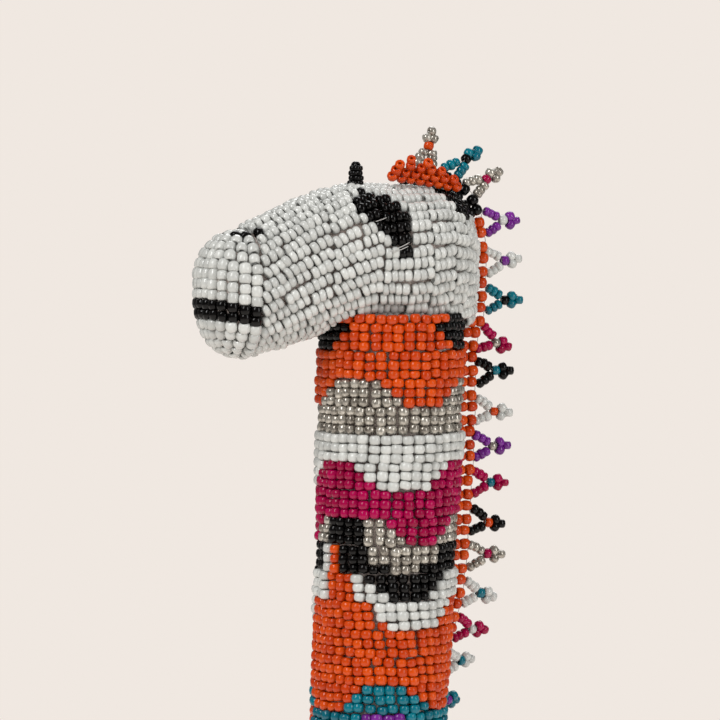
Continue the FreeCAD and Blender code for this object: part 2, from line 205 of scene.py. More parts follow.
def bead_mesh(name, table, detail):
    """One mesh of separate beads, each with its own square of the texture map."""
    outline, sides = np.array(detail[0]), detail[1]
    count, rings = len(table), len(outline)
    corners = bead_corners(table, outline, sides)
    faces = bead_faces(count, rings, sides)
    face_count = len(faces) // 4
    mesh = bpy.data.meshes.new(name)
    mesh.vertices.add(count * rings * sides)
    mesh.vertices.foreach_set("co", to_frame(corners.reshape(-1, 3)).ravel())
    mesh.loops.add(len(faces))
    mesh.loops.foreach_set("vertex_index", faces)
    mesh.polygons.add(face_count)
    mesh.polygons.foreach_set("loop_start", np.arange(face_count) * 4)
    mesh.polygons.foreach_set("use_smooth", np.ones(face_count, bool))
    colours = table[:, 11].astype(int)
    used = sorted(set(colours))
    for colour in used:
        mesh.materials.append(bead_material(PALETTE[colour]))
    mesh.polygons.foreach_set("material_index", np.repeat(np.searchsorted(used, colours), rings * sides))
    map_beads(mesh, count, rings, sides)
    mesh.update(calc_edges=True)
    mesh.validate()
    return mesh


def map_beads(mesh, count, rings, sides):
    """A texture map with one small square for each bead."""
    grid = math.ceil(math.sqrt(count))
    edge = 0.08
    ring, step = np.meshgrid(np.arange(rings), np.arange(sides), indexing="ij")
    ring, step = ring.ravel(), step.ravel()
    across = np.stack((step, step + 1, step + 1, step), axis=-1) / sides
    upward = np.stack((ring, ring, ring + 1, ring + 1), axis=-1) / rings
    local = np.stack((across, upward), axis=-1) * (1 - 2 * edge) + edge
    cell = np.stack((np.arange(count) % grid, np.arange(count) // grid), axis=-1)
    uv = (cell[:, None, None, :] + local[None]) / grid
    layer = mesh.uv_layers.new(name="OFBake")
    layer.data.foreach_set("uv", uv.ravel())


def place_piece(mesh, body):
    """A scene object riding on a body, named like its mesh."""
    piece = bpy.data.objects.new(mesh.name, mesh)
    bpy.context.scene.collection.objects.link(piece)
    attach(piece, body)
    return piece


def bead_piece(name, beads, body, replaced, detail=FINE):
    """A piece made of beads that stands in for some CAD nodes."""
    table = beads.table() if isinstance(beads, Beads) else beads
    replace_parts(place_piece(bead_mesh(name, table, detail), body), *replaced)


# --- materials --------------------------------------------------------------------------------------
def new_material(name):
    material = bpy.data.materials.new(name)
    material.use_nodes = True
    tree = material.node_tree
    return material, tree, tree.nodes["Principled BSDF"]


def add_node(tree, kind, **values):
    node = tree.nodes.new(kind)
    for key, value in values.items():
        if key in node.inputs:
            node.inputs[key].default_value = value
        else:
            setattr(node, key, value)
    return node


def ramp(tree, source, stops):
    """A colour ramp fed by a socket."""
    node = tree.nodes.new("ShaderNodeValToRGB")
    elements = node.color_ramp.elements
    while len(elements) < len(stops):
        elements.new(0.5)
    for element, (place, colour) in zip(elements, stops):
        element.position = place
        element.color = (*colour, 1.0)
    tree.links.new(source, node.inputs["Fac"])
    return node.outputs["Color"]


def noise_tint(tree, shader, scale, detail, dark, light):
    """Base colour that wanders between two tints over the surface."""
    place = tree.nodes.new("ShaderNodeTexCoord").outputs["Object"]
    noise = add_node(tree, "ShaderNodeTexNoise", Scale=scale, Detail=detail)
    tree.links.new(place, noise.inputs["Vector"])
    tint = ramp(tree, noise.outputs["Fac"], ((0.3, dark), (0.7, light)))
    tree.links.new(tint, shader.inputs["Base Color"])


# dark and light tint of each kind of bead, roughness, coat, specular level, metallic
GLASS = {
    "white": ((0.485, 0.49, 0.47), (0.61, 0.615, 0.59), 0.16, 0.5, 0.5, 0.0),
    "orange": ((0.49, 0.038, 0.001), (0.62, 0.066, 0.002), 0.13, 0.12, 0.32, 0.0),
    "magenta": ((0.26, 0.0, 0.036), (0.37, 0.0, 0.064), 0.13, 0.12, 0.26, 0.0),
    "teal": ((0.0, 0.105, 0.150), (0.0, 0.165, 0.220), 0.13, 0.2, 0.36, 0.0),
    "purple": ((0.12, 0.010, 0.18), (0.19, 0.022, 0.28), 0.14, 0.2, 0.36, 0.0),
    "black": ((0.0010, 0.0007, 0.0007), (0.0025, 0.0018, 0.0018), 0.10, 0.1, 0.2, 0.0),
    # silver-lined beads: the wide step from the dark to the light tint is painted glints and dark reflections
    # of the lining, on top of each bead's own tint
    "silver": ((0.15, 0.125, 0.10), (0.62, 0.58, 0.51), 0.16, 0.7, 0.5, 0.5),
}
made_materials = {}


def bead_material(colour):
    """Glass of one colour: each bead has its own tint, with faint streaks round the hole; on the silver-lined
    beads a stronger fine mottle from dark to bright paints the lining's glints and dark reflections into the
    colour.
    """
    if colour in made_materials:
        return made_materials[colour]
    dark, light, rough, coat, specular, metallic = GLASS[colour]
    material, tree, shader = new_material(colour + "_glass")
    place = tree.nodes.new("ShaderNodeTexCoord").outputs["Object"]
    island = tree.nodes.new("ShaderNodeNewGeometry").outputs["Random Per Island"]
    painted_lining_glints = colour == "silver"
    # on the silver-lined beads a fine noise, weighted over each bead's own tint, paints the lining's glints
    # and dark reflections
    noise = add_node(tree, "ShaderNodeTexNoise", Scale=1500.0 if painted_lining_glints else 700.0, Detail=2.0)
    tree.links.new(place, noise.inputs["Vector"])
    mixed = add_node(tree, "ShaderNodeMix", data_type="FLOAT")
    mixed.inputs["Factor"].default_value = 0.75 if painted_lining_glints else 0.35
    tree.links.new(island, mixed.inputs["A"])
    tree.links.new(noise.outputs["Fac"], mixed.inputs["B"])
    tint = ramp(tree, mixed.outputs["Result"], ((0.28, dark), (0.72, light)))
    tree.links.new(tint, shader.inputs["Base Color"])
    bump = add_node(tree, "ShaderNodeBump", Strength=0.25, Distance=0.00008)
    tree.links.new(noise.outputs["Fac"], bump.inputs["Height"])
    tree.links.new(bump.outputs["Normal"], shader.inputs["Normal"])
    shader.inputs["Roughness"].default_value = rough
    shader.inputs["Coat Weight"].default_value = coat
    shader.inputs["Coat Roughness"].default_value = 0.08
    shader.inputs["Specular IOR Level"].default_value = specular
    shader.inputs["Metallic"].default_value = metallic
    shader.inputs["IOR"].default_value = 1.52
    made_materials[colour] = material
    return material


def nylon_material():
    """Clear fishing line."""
    if "nylon" in made_materials:
        return made_materials["nylon"]
    material, tree, shader = new_material("nylon_thread")
    noise_tint(tree, shader, 400.0, 1.0, (0.42, 0.40, 0.38), (0.62, 0.60, 0.58))
    shader.inputs["Roughness"].default_value = 0.18
    shader.inputs["Coat Weight"].default_value = 0.5
    made_materials["nylon"] = material
    return material


def cloth_material(name, dark, light, threads=2.0):
    """Plain woven cotton: crossed threads, threads per millimetre apart, darker where the threads dip:
    painted shade in the weave's hollows.
    """
    material, tree, shader = new_material(name)
    place = tree.nodes.new("ShaderNodeTexCoord").outputs["Object"]
    waves = []
    for direction in ("Z", "DIAGONAL"):
        wave = add_node(tree, "ShaderNodeTexWave", bands_direction=direction, Scale=320.0 * threads,
                        Distortion=0.6)
        tree.links.new(place, wave.inputs["Vector"])
        waves.append(wave.outputs["Fac"])
    weave = add_node(tree, "ShaderNodeMath", operation="MULTIPLY")
    tree.links.new(waves[0], weave.inputs[0])
    tree.links.new(waves[1], weave.inputs[1])
    # the colour follows the weave's height, dark in the hollows between the threads where the bump is low:
    # painted shade
    tint = ramp(tree, weave.outputs["Value"], ((0.1, dark), (0.7, light)))
    tree.links.new(tint, shader.inputs["Base Color"])
    bump = add_node(tree, "ShaderNodeBump", Strength=0.6, Distance=0.0002)
    tree.links.new(weave.outputs["Value"], bump.inputs["Height"])
    tree.links.new(bump.outputs["Normal"], shader.inputs["Normal"])
    shader.inputs["Roughness"].default_value = 0.92
    shader.inputs["Sheen Weight"].default_value = 0.2
    return material


def steel_material():
    """Drawn steel rod with fine marks along it."""
    material, tree, shader = new_material("drawn_steel")
    noise_tint(tree, shader, 900.0, 3.0, (0.36, 0.36, 0.37), (0.62, 0.62, 0.63))
    shader.inputs["Metallic"].default_value = 1.0
    shader.inputs["Roughness"].default_value = 0.34
    return material


def finish_cad_nodes():
    """Woven cloth, filling and steel for the CAD solids under the beads."""
    cloth = cloth_material("rose_cotton", (0.66, 0.55, 0.50), (0.88, 0.78, 0.73))
    filling = cloth_material("fibre_filling", (0.62, 0.60, 0.56), (0.88, 0.87, 0.84), threads=0.7)
    steel = steel_material()
    for name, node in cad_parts.items():
        if "cloth" in name or "core" in name:
            look = cloth
        elif "stuffing" in name:
            look = filling
        elif "rod" in name:
            look = steel
        else:
            continue
        for slot in node.material_slots:
            slot.material = look


# --- shared curves ----------------------------------------------------------------------------------
def turned(vectors, degrees):
    """Turn vectors about +Z; degrees may be one angle or one for each vector."""
    angle = np.radians(degrees)
    x, y, z = (np.asarray(vectors, float)[..., k] for k in range(3))
    return np.stack((x * np.cos(angle) - y * np.sin(angle), x * np.sin(angle) + y * np.cos(angle),
                     z + 0 * angle), axis=-1)


def neck_axis(z):
    t = np.clip((JAW_Z - z) / (JAW_Z - NECK_FOOT_Z), 0.0, 1.0)
    lean = -NECK_LEAN * (1.0 - np.cos(math.pi * t)) / 2.0
    return np.stack((0 * lean, lean, z + 0 * lean), axis=-1)


def neck_radius(z):
    growth = NECK_TOP_GROWTH * smooth((z - NECK_WAIST_Z) / (JAW_Z - NECK_WAIST_Z))
    drop = np.maximum((NECK_WAIST_Z - z) / (NECK_WAIST_Z - NECK_FOOT_Z), 0.0)
    return NECK_WAIST_R + growth + NECK_FOOT_GROWTH * drop**2


def seam_yaw(z):
    return HEAD_YAW * smooth((z - TWIST_LOW_Z) / (TWIST_HIGH_Z - TWIST_LOW_Z))


def head_place(x, u, z):
    """Head coordinates (right side, forward, above the jaw line) to the drawing frame."""
    flat = np.stack(np.broadcast_arrays(x, -np.asarray(u, float), z), axis=-1)
    return turned(flat, HEAD_YAW) + np.array((0, 0, JAW_Z))


def hermite(u):
    """Top, bottom and half width of the head between its key sections."""
    keys = HEAD_KEYS
    last = len(keys) - 1
    i = int(np.clip(np.searchsorted(keys[:, 0], u, side="right") - 1, 0, last - 1))
    low, high, before, after = keys[i], keys[i + 1], keys[max(i - 1, 0)], keys[min(i + 2, last)]
    span = high[0] - low[0]
    t = (u - low[0]) / span
    slope_low = (high[1:] - before[1:]) / (high[0] - before[0]) * span
    slope_high = (after[1:] - low[1:]) / (after[0] - low[0]) * span
    return ((2 * t**3 - 3 * t**2 + 1) * low[1:] + (t**3 - 2 * t**2 + t) * slope_low
            + (3 * t**2 - 2 * t**3) * high[1:] + (t**3 - t**2) * slope_high)


def head_section(u):
    """Top, bottom and half width of the head at a distance in front of the neck's axis."""
    flat_end = HEAD_KEYS[-1, 0]
    if u < 0:
        top, bottom, half = HEAD_KEYS[0, 1:]
        rounding = max(-u - (SKULL_BACK - SKULL_ROUND), 0.0)
        top += math.sqrt(max(SKULL_ROUND**2 - rounding**2, 0.0)) - SKULL_ROUND
        return top, bottom, half * math.sqrt(max(1.0 - (-u / (SKULL_BACK + 0.1)) ** 2, 0.0))
    if u <= flat_end:
        return tuple(hermite(u))
    top, bottom, half = HEAD_KEYS[-1, 1:]
    bend = min((u - flat_end) / (SNOUT_END - flat_end), 1.0) ** SNOUT_POWER
    shrink = (1.0 - bend) ** (1 / SNOUT_POWER)
    middle, rise = (top + bottom) / 2, (top - bottom) / 2 * shrink
    return middle + rise, middle - rise, half * shrink


def head_ring(u, inset=SKIN_BEAD_R):
    """Points round the head's section at u, from the middle of its underside, and the ring's length."""
    top, bottom, half = head_section(u)
    angle = np.linspace(-math.pi / 2, 1.5 * math.pi, 361)
    c, s = np.cos(angle), np.sin(angle)
    x = max(half - inset, 0.3) * np.sign(c) * np.abs(c) ** (2 / HEAD_POWER)
    z = (top + bottom) / 2 + ((top - bottom) / 2 - inset) * np.sign(s) * np.abs(s) ** (2 / HEAD_POWER)
    length = np.concatenate(((0.0,), np.cumsum(np.hypot(np.diff(x), np.diff(z)))))
    return x, z, length


def head_spots(u, shares):
    """Places at shares of the way round the head's section at u."""
    x, z, length = head_ring(u)
    at = shares * length[-1]
    return np.interp(at, length, x), np.interp(at, length, z)


def head_top(x, u):
    top, bottom, half = head_section(u)
    middle = (top + bottom) / 2
    return middle + (top - middle) * (1.0 - (abs(x) / half) ** HEAD_POWER) ** (1 / HEAD_POWER)


# --- coloured bands ---------------------------------------------------------------------------------
LOBES = 3                 # how often a motif repeats round the neck
DOWN = (7, 5, 3)          # columns in the three rows of a lobe that points down
# From the jaw down, three rows each: ground colour, then motifs as colour, direction of their middle in
# degrees from straight ahead towards the giraffe's left, and width in columns in the three rows;
# a third entry tells how often the motifs repeat round the neck, where that isn't LOBES
NECK_BANDS = (
    ("black", (("orange", 38, (7.5, 9.9, 12)), ("orange", 218, (7.5, 9.9, 12))), 1),
    ("orange", ()),
    ("silver", (("orange", 68, (7.6, 5.7, 3.8)),)),
    ("silver", ()),
    ("white", ()),
    ("magenta", (("white", 51, (9, 7, 4.4)),)),
    ("magenta", ()),
    ("silver", (("magenta", 68, (7.4, 5.5, 3.6)), ("magenta", 188, DOWN), ("magenta", 300, DOWN),
                ("black", -6, (4, 4, 4))), 1),
    ("black", (("silver", 55, (7.6, 6.3, 3.8)), ("silver", 180, DOWN), ("silver", 280, (5, 4, 3)),
               ("white", -20, (1.6, 1.6, 1.6)), ("orange", -9, (1, 1, 1))), 1),
    ("white", (("black", 61, (8.3, 6.3, 4.2)), ("black", 181, DOWN), ("black", 285, (6, 5, 4)),
               ("orange", -5, (3, 3, 3)), ("orange", 232, (3, 3, 3))), 1),
    ("orange", (("white", 65, (8.4, 6.5, 4.7)), ("white", 185, DOWN), ("white", 290, (5, 4, 3))), 1),
    ("orange", ()),
    ("orange", ()),
    ("orange", (("teal", 41, (4, 6, 8)),)),
    ("teal", (("purple", 45, (4, 6, 8)), ("purple", 165, (4, 6, 8)), ("orange", -60, (5, 3, 1))), 1),
)
# ground colours of the bands below, each met by lobes of the next
LOWER_BANDS = ("purple", "white", "black", "silver", "magenta", "orange", "teal", "purple", "white",
               "magenta", "black", "orange", "silver", "teal", "orange", "white", "purple", "orange")


def colour_number(name):
    return PALETTE.index(name)


def motif_colours(ground, motifs, row, angles, count, lobes):
    """Colour of each bead in a row that has motifs on a ground colour."""
    colours = np.full(len(angles), colour_number(ground))
    period = 360.0 / lobes
    for colour, middle, widths in motifs:
        away = np.abs((angles - middle + period / 2) % period - period / 2)
        colours[away < widths[row] * 360.0 / count / 2] = colour_number(colour)
    return colours


def lower_band(group, lobes, start=0):
    """Ground and motifs of a band of three rows below the part with its own list."""
    step, second = divmod(group, 2)
    ground = LOWER_BANDS[(start + step) % len(LOWER_BANDS)]
    following = LOWER_BANDS[(start + step + 1) % len(LOWER_BANDS)]
    if not second:
        return ground, ()
    return ground, ((following, 35 + 360.0 / lobes / 2 * (step % 2), (3, 6, 8)),)


def neck_band(group):
    if group < len(NECK_BANDS):
        return NECK_BANDS[max(group, 0)]
    return lower_band(group - len(NECK_BANDS), LOBES)


# --- skins ------------------------------------------------------------------------------------------
def stack_noise(count, loose=1.0):
    """How far each stack of a band is out of place, and how much it tilts."""
    return RNG.normal(0, 0.11 * loose, (count, 3)), RNG.normal(0, 0.045 * loose, count)


def uneven(points, holes, outs, noise, loose=1.0):
    """Hand-made unevenness: each stack shifts and tilts as one, and each bead a little more."""
    count = len(points)
    shift = noise[0] + RNG.normal(0, 0.06 * loose, (count, 3))
    tilt = noise[1] + RNG.normal(0, 0.05 * loose, count)
    side = np.cross(holes, outs)
    points = points + side * shift[:, :1] + outs * shift[:, 1:2] * 0.9 + holes * shift[:, 2:] * 0.8
    return points, unit(holes + side * tilt[:, None])


def skin_sizes(count, radius=SKIN_BEAD_R, half=SKIN_BEAD_HALF):
    """Sizes of beads that were never sorted."""
    return radius * RNG.normal(1.0, 0.045, count).clip(0.88, 1.12), half * RNG.normal(1.0, 0.06, count)


def in_body(points, margin=0.0):
    """True for points inside the body's form, grown by margin."""
    slope = math.radians(BODY_SLOPE)
    local = points - BODY_CENTRE
    along = local[:, 1] * math.cos(slope) - local[:, 2] * math.sin(slope)
    upward = local[:, 1] * math.sin(slope) + local[:, 2] * math.cos(slope)
    across = np.hypot(local[:, 0], upward)
    edge = np.stack((np.abs(along) - (BODY_LENGTH / 2 - BODY_ROUND), across - (BODY_R - BODY_ROUND)), axis=-1)
    outside = np.linalg.norm(np.maximum(edge, 0), axis=-1) + np.minimum(edge.max(axis=-1), 0)
    return outside < BODY_ROUND + margin


def upright_tube(z_first, z_last, axis_at, radius_at, seam_at, band_at, lobes, loose=1.0, first=0):
    """Rows of stacked beads round an upright form, from the top down; stacks count on from first."""
    beads = Beads()
    rows = int((z_first - z_last) / ROW)
    for group in range(first, math.ceil(rows / STACK)):
        middle_z = z_first - ROW * (STACK * group + 1)
        count = round(2 * math.pi * radius_at(middle_z) / COLUMN)
        noise = stack_noise(count, loose)
        ground, motifs, *own_lobes = band_at(group)
        repeats = own_lobes[0] if own_lobes else lobes
        for row in range(STACK):
            z = z_first - ROW * (STACK * group + row)
            turn = 360.0 / count * (np.arange(count) + 0.5 * (group % 2)) + seam_at(z)
            out = turned(np.array((0.0, -1.0, 0.0)), turn)
            points = axis_at(z) + out * (radius_at(z) - SKIN_BEAD_R)
            below = axis_at(z - 1.0) + out * radius_at(z - 1.0)
            above = axis_at(z + 1.0) + out * radius_at(z + 1.0)
            points, holes = uneven(points, unit(above - below), out, noise, loose)
            radius, half = skin_sizes(count)
            colours = motif_colours(ground, motifs, row, turn, count, repeats)
            scale = KIND_SIZES[colours]
            beads.add(points + out * ((scale - 1) * KIND_LIFT)[:, None], holes, out, radius * scale,
                      half, colours)
    return beads.table()


JOINT_OVERLAP = 1.1       # depth to which neck and leg beads reach into the body's skin
HIDDEN_DEPTH = 2.4        # body beads deeper than this inside the neck or a leg are left out
LEG_TOP_HIDDEN = 12.0     # height at a leg's top, inside the body, where that rule doesn't count
NECK_LOOSE = 1.35         # how much more uneven the neck's stacks are than the other skins
NECK_TOP_GAP = 1.2        # the first stack starts this far below the jaw line
NECK_TUCK = 2.2           # beads above this height over the jaw line are left out
NECK_CUTS = (421.0, 352.0, 290.0, 0.0)   # heights between the neck's three pieces


def build_neck():
    """The neck's skin, in three pieces from the top down."""
    table = upright_tube(JAW_Z - NECK_TOP_GAP, NECK_FOOT_Z, neck_axis, neck_radius, seam_yaw, neck_band,
                         LOBES, NECK_LOOSE, first=-1)
    table = table[~in_body(table[:, :3], -JOINT_OVERLAP) & (table[:, 2] < JAW_Z + NECK_TUCK)]
    for name, top, low in zip(("upper", "middle", "lower"), NECK_CUTS, NECK_CUTS[1:]):
        part = table[(table[:, 2] <= top) & (table[:, 2] > low)]
        bead_piece("neck_beads_" + name, part, "figure", ("neck_beadwork",))


# --- head -------------------------------------------------------------------------------------------
# The eye patch on the side of the head, as distances in front of the neck's axis and above the jaw line
EYE = ((12.4, 31.3), (6.5, 30.8), (2.2, 27.0), (1.3, 24.5), (1.3, 19.6), (2.8, 14.7), (6.6, 19.4),
       (10.2, 22.2), (12.8, 25.0), (13.2, 28.6))
# threads that show over the black of the eye
EYE_THREADS = (((10.6, 24.4), (7.4, 25.6)), ((7.6, 17.2), (2.9, 19.4)), ((7.2, 16.9), (3.2, 18.5)))
POLL_FRONT = 8.3          # the black patch behind the ears starts here behind the neck's axis
POLL_TOP = 31.9
POLL_LOW = 25.4
POLL_SLANT = 0.66
HEAD_ROW = 1.64
HEAD_BEAD_R = 1.57
HEAD_BEAD_HALF = 0.88
HEAD_STACK_GAP = 0.3
HEAD_START = 1.0          # the first row's distance behind the muzzle seam
HEAD_END = math.radians(84.0)   # how far round the skull's back the rows reach
SNOUT_PART = 8.0          # the snout's piece is further than this in front of the neck's axis
HEAD_LOOSE = 1.7
HEAD_TILT = 0.17          # upward slope of each stack towards the back, beside its row
HEAD_RIDGE = 6.0          # the slope fades within this distance of the head's middle plane
JAW_OPEN = 1.0            # lower than this over the jaw line, beads keep clear of the neck
JAW_CLEAR = 0.4
EYE_THREAD_LIFT = 0.1
EYE_THREAD_DIP = 0.5      # the ends of the eye's threads go this deep under their middles


def inside_outline(points, outline):
    """True for points inside a closed outline."""
    found = np.zeros(len(points), bool)
    corners = np.array(outline)
    for (ax, ay), (bx, by) in zip(corners, np.roll(corners, -1, axis=0)):
        crosses = (ay > points[:, 1]) != (by > points[:, 1])
        with np.errstate(divide="ignore", invalid="ignore"):
            at = (bx - ax) * (points[:, 1] - ay) / (by - ay) + ax
        found ^= crosses & (points[:, 0] < at)
    return found


NOSTRIL_FRONT = 43.4      # the nostrils lie between these two distances in front of the neck's axis
NOSTRIL_BACK = 36.2
NOSTRIL_ASIDE = 2.0       # sideways place of their front ends
NOSTRIL_SPREAD = 0.54     # how far they part towards the back, per length
NOSTRIL_HALF = 1.4
NOSTRIL_LOW = 17.0        # they lie above this height over the jaw line


def in_nostril(x, u, z):
    """True for beads of the two short black lines on top of the muzzle."""
    aside = NOSTRIL_ASIDE + NOSTRIL_SPREAD * (NOSTRIL_FRONT - u)
    level = (u > NOSTRIL_BACK) & (u < NOSTRIL_FRONT) & (z > NOSTRIL_LOW)
    return level & (np.abs(np.abs(x) - aside) < NOSTRIL_HALF)


def head_colours(x, u, z):
    """White, with black eye patches, a black patch behind the ears and the nostrils' last beads."""
    colours = np.full(len(x), colour_number("white"))
    eye = inside_outline(np.stack((u, z), axis=-1), EYE)
    behind = -u - POLL_FRONT
    poll = (behind > 0) & (z > POLL_LOW) & (behind > (POLL_TOP - z) * POLL_SLANT)
    colours[eye | poll | in_nostril(x, u, z)] = colour_number("black")
    return colours


def head_stacks():
    """Rows of each stack along the head, from the muzzle seam to the back, ahead of the neck's axis."""
    stacks = []
    way = MUZZLE_SEAM - HEAD_START
    while way > -SKULL_BACK * HEAD_END:
        rows = way - HEAD_ROW * np.arange(3 + len(stacks) % 2)
        behind = -SKULL_BACK * np.sin(np.clip(-rows / SKULL_BACK, 0.0, 1.5))
        stacks.append(np.where(rows > 0, rows, behind))
        way = rows[-1] - HEAD_ROW - HEAD_STACK_GAP
    return stacks


def build_head():
    """Stacks of three or four along the head, in two pieces."""
    beads = Beads()
    step = 0.4
    for number, rows in enumerate(head_stacks()):
        ring_length = head_ring(rows[len(rows) // 2])[2][-1]
        count = max(round(ring_length / COLUMN), 8)
        shares = (np.arange(count) + 0.5 * (number % 2)) / count
        noise = stack_noise(count, HEAD_LOOSE)
        for u in rows:
            x, z = head_spots(u, shares)
            x_front, z_front = head_spots(u + step, shares)
            x_back, z_back = head_spots(u - step, shares)
            points, holes = head_place(x, u, z), head_place(x_front, u + step, z_front)
            holes = unit(holes - head_place(x_back, u - step, z_back))
            x_next, z_next = head_spots(u, shares + 0.004)
            round_the_ring = unit(head_place(x_next, u, z_next) - points)
            outs = unit(np.cross(holes, round_the_ring))
            upward = round_the_ring * np.clip(x / HEAD_RIDGE, -1, 1)[:, None]
            points = points + upward * HEAD_TILT * (np.mean(rows) - u)
            points, holes = uneven(points, unit(holes - upward * HEAD_TILT), outs, noise, HEAD_LOOSE)
            radius, half = skin_sizes(count, HEAD_BEAD_R, HEAD_BEAD_HALF)
            keep = (z > JAW_OPEN) | (np.hypot(x, u) > neck_radius(JAW_Z) + JAW_CLEAR)
            colours = head_colours(x, np.full(count, u), z)
            beads.add(points[keep], holes[keep], outs[keep], radius[keep], half[keep], colours[keep])
    table = beads.table()
    forward = turned(table[:, :3], -HEAD_YAW)[:, 1] < -SNOUT_PART
    bead_piece("head_beads_snout", table[forward], "figure", ("head_beadwork",))
    bead_piece("head_beads_crown", table[~forward], "figure", ("head_beadwork",))
    place_piece(thread_mesh("eye_thread", [head_thread(*ends) for ends in EYE_THREADS]), "figure")


def head_thread(start, end):
    """A thread across the side of the head between two places (ahead of the neck's axis, height)."""
    line = []
    for share in np.linspace(0, 1, 7):
        u, z = start[0] + (end[0] - start[0]) * share, start[1] + (end[1] - start[1]) * share
        top, bottom, half = head_section(u)
        high = abs(z - (top + bottom) / 2) / ((top - bottom) / 2)
        x = half * (1.0 - high**HEAD_POWER) ** (1 / HEAD_POWER)
        x = x + EYE_THREAD_LIFT - EYE_THREAD_DIP * (2 * share - 1) ** 2
        line.append(head_place(x, u, z))
    return line


MOUTH_HEIGHT = 2.3        # middle of the mouth above the jaw line, at the muzzle seam
MUZZLE_TILT = 0.20        # rise of the muzzle's rows towards the front
MUZZLE_SAG = 1.2          # drop of its middle rows at the seam
MUZZLE_POWER = 2.5        # squareness of the muzzle, seen from the side
MUZZLE_BOW = 0.85         # and from above: less than 1 is squarer than an ellipse
MUZZLE_COLUMNS = 14
MUZZLE_BEAD_HALF = 1.26
MUZZLE_BEAD_R = SKIN_BEAD_R * 1.04
MUZZLE_PACKING = 0.92     # its columns are this much narrower than the other skins'
MUZZLE_GUIDE = 0.35       # the rows are spaced along the line at this turn
MUZZLE_SHIFT = 0.7        # how unevenly its rows lie, and its single beads
MUZZLE_LOOSE = 0.9


def muzzle_point(turn, height):
    """Point of the muzzle's front at a turn from straight ahead and a height share from -1 to 1."""
    top, bottom, half = HEAD_KEYS[-1, 1:]
    depth = SNOUT_END - MUZZLE_SEAM - SKIN_BEAD_R
    height = np.maximum(height, -0.999)
    level = (1.0 - np.abs(height) ** MUZZLE_POWER) ** (1 / MUZZLE_POWER)
    x = (half - SKIN_BEAD_R) * np.sign(np.sin(turn)) * np.abs(np.sin(turn)) ** MUZZLE_BOW * level
    u = MUZZLE_SEAM + depth * np.abs(np.cos(turn)) ** MUZZLE_BOW * level
    z = (top + bottom) / 2 + ((top - bottom) / 2 - SKIN_BEAD_R) * height
    z = z + (MUZZLE_TILT * (u - MUZZLE_SEAM) - MUZZLE_SAG) * (1 - height**2)
    return head_place(x, u, z)


def build_muzzle():
    """Upright stacks of beads round the muzzle's front, with two black rows for the mouth."""
    beads = Beads()
    heights = np.linspace(-1, 1, 401)[1:-1]
    front = muzzle_point(np.full(len(heights), MUZZLE_GUIDE), heights)
    length = np.concatenate(((0.0,), np.cumsum(np.linalg.norm(np.diff(front, axis=0), axis=1))))
    rows = int(length[-1] / ROW)
    turns = np.linspace(-math.pi / 2, math.pi / 2, 401)
    number = np.arange(len(heights))
    mouth_number = np.interp(JAW_Z + MOUTH_HEIGHT, front[:, 2], number)
    mouth_row = round(np.interp(mouth_number, number, length) / length[-1] * (rows - 1))
    for row in range(rows):
        height = np.interp(row / (rows - 1) * length[-1], length, heights)
        line = muzzle_point(turns, np.full(len(turns), height))
        across = np.concatenate(((0.0,), np.cumsum(np.linalg.norm(np.diff(line, axis=0), axis=1))))
        count = min(MUZZLE_COLUMNS, int(across[-1] / (COLUMN * MUZZLE_PACKING)))
        if count < 2:
            continue
        at = np.interp((np.arange(count) + 0.5) / count * across[-1], across, turns)
        level = np.full(count, height)
        points = muzzle_point(at, level)
        holes = unit(muzzle_point(at, np.minimum(level + 0.02, 0.999)) - muzzle_point(at, level - 0.02))
        sideways = unit(muzzle_point(at + 0.02, level) - muzzle_point(at - 0.02, level))
        outs = np.cross(sideways, holes)
        outs = outs * np.sign(np.sum(outs * (points - head_place(0, MUZZLE_SEAM - 6, 7.0)), axis=1))[:, None]
        points, holes = uneven(points, holes, outs, stack_noise(count, MUZZLE_SHIFT), MUZZLE_LOOSE)
        radius, half = skin_sizes(count, MUZZLE_BEAD_R, MUZZLE_BEAD_HALF)
        mouth = row - mouth_row in (0, 1)
        x, back, z = turned(points - np.array((0, 0, JAW_Z)), -HEAD_YAW).T
        nostril = in_nostril(x, -back, z)
        colours = np.where(nostril | mouth, colour_number("black"), colour_number("white"))
        beads.add(points, holes, outs, radius, half, colours)
    bead_piece("muzzle_beads", beads, "figure", ("muzzle_beadwork",))


# --- ears and horn ----------------------------------------------------------------------------------
# rows of an ear from its sewn edge up: height, start and end along the edge
EAR_ROWS = ((0.0, -0.6, 17.8), (1.6, -0.5, 16.0), (3.3, 0.5, 12.6), (5.0, 2.4, 8.0))
EAR_BEAD_R = 1.28
EAR_BEAD_HALF = 0.98
EAR_HEIGHT = 7.0          # height of the ear's tip, by which its cup is scaled
HORN_RINGS = 4
HORN_REACH = 1.2          # distance of the lowest ring's beads from the horn's middle
HORN_TAPER = 0.13         # how much less it gets from ring to ring
HORN_PITCH = 1.2


def ear_frame(side):
    """Front of the ear's sewn edge, its direction, the way up the ear and the ear's face."""
    x_front, x_back, tilt = EAR_PLACES[side]
    share = np.linspace(0, 1, 9)
    x = x_front + (x_back - x_front) * share
    u = EAR_FRONT - EAR_LENGTH * share
    tops = np.array([head_top(*spot) for spot in zip(x, u)])
    bulge = np.max(tops - tops[0] - (tops[-1] - tops[0]) * share)
    front = head_place(x[0], u[0], tops[0] + bulge + EAR_LIFT)
    along = unit(head_place(x[-1], u[-1], tops[-1] + bulge + EAR_LIFT) - front)
    outward = turned(np.array((math.copysign(1, x_front), 0, 0)), HEAD_YAW)
    upright = unit(np.array((0, 0, 1)) - along * along[2])
    lean = math.radians(tilt)
    rise = upright * math.cos(lean) + outward * math.sin(lean)
    rise = unit(rise - along * (rise @ along))
    return front, along, rise, np.cross(along, rise)


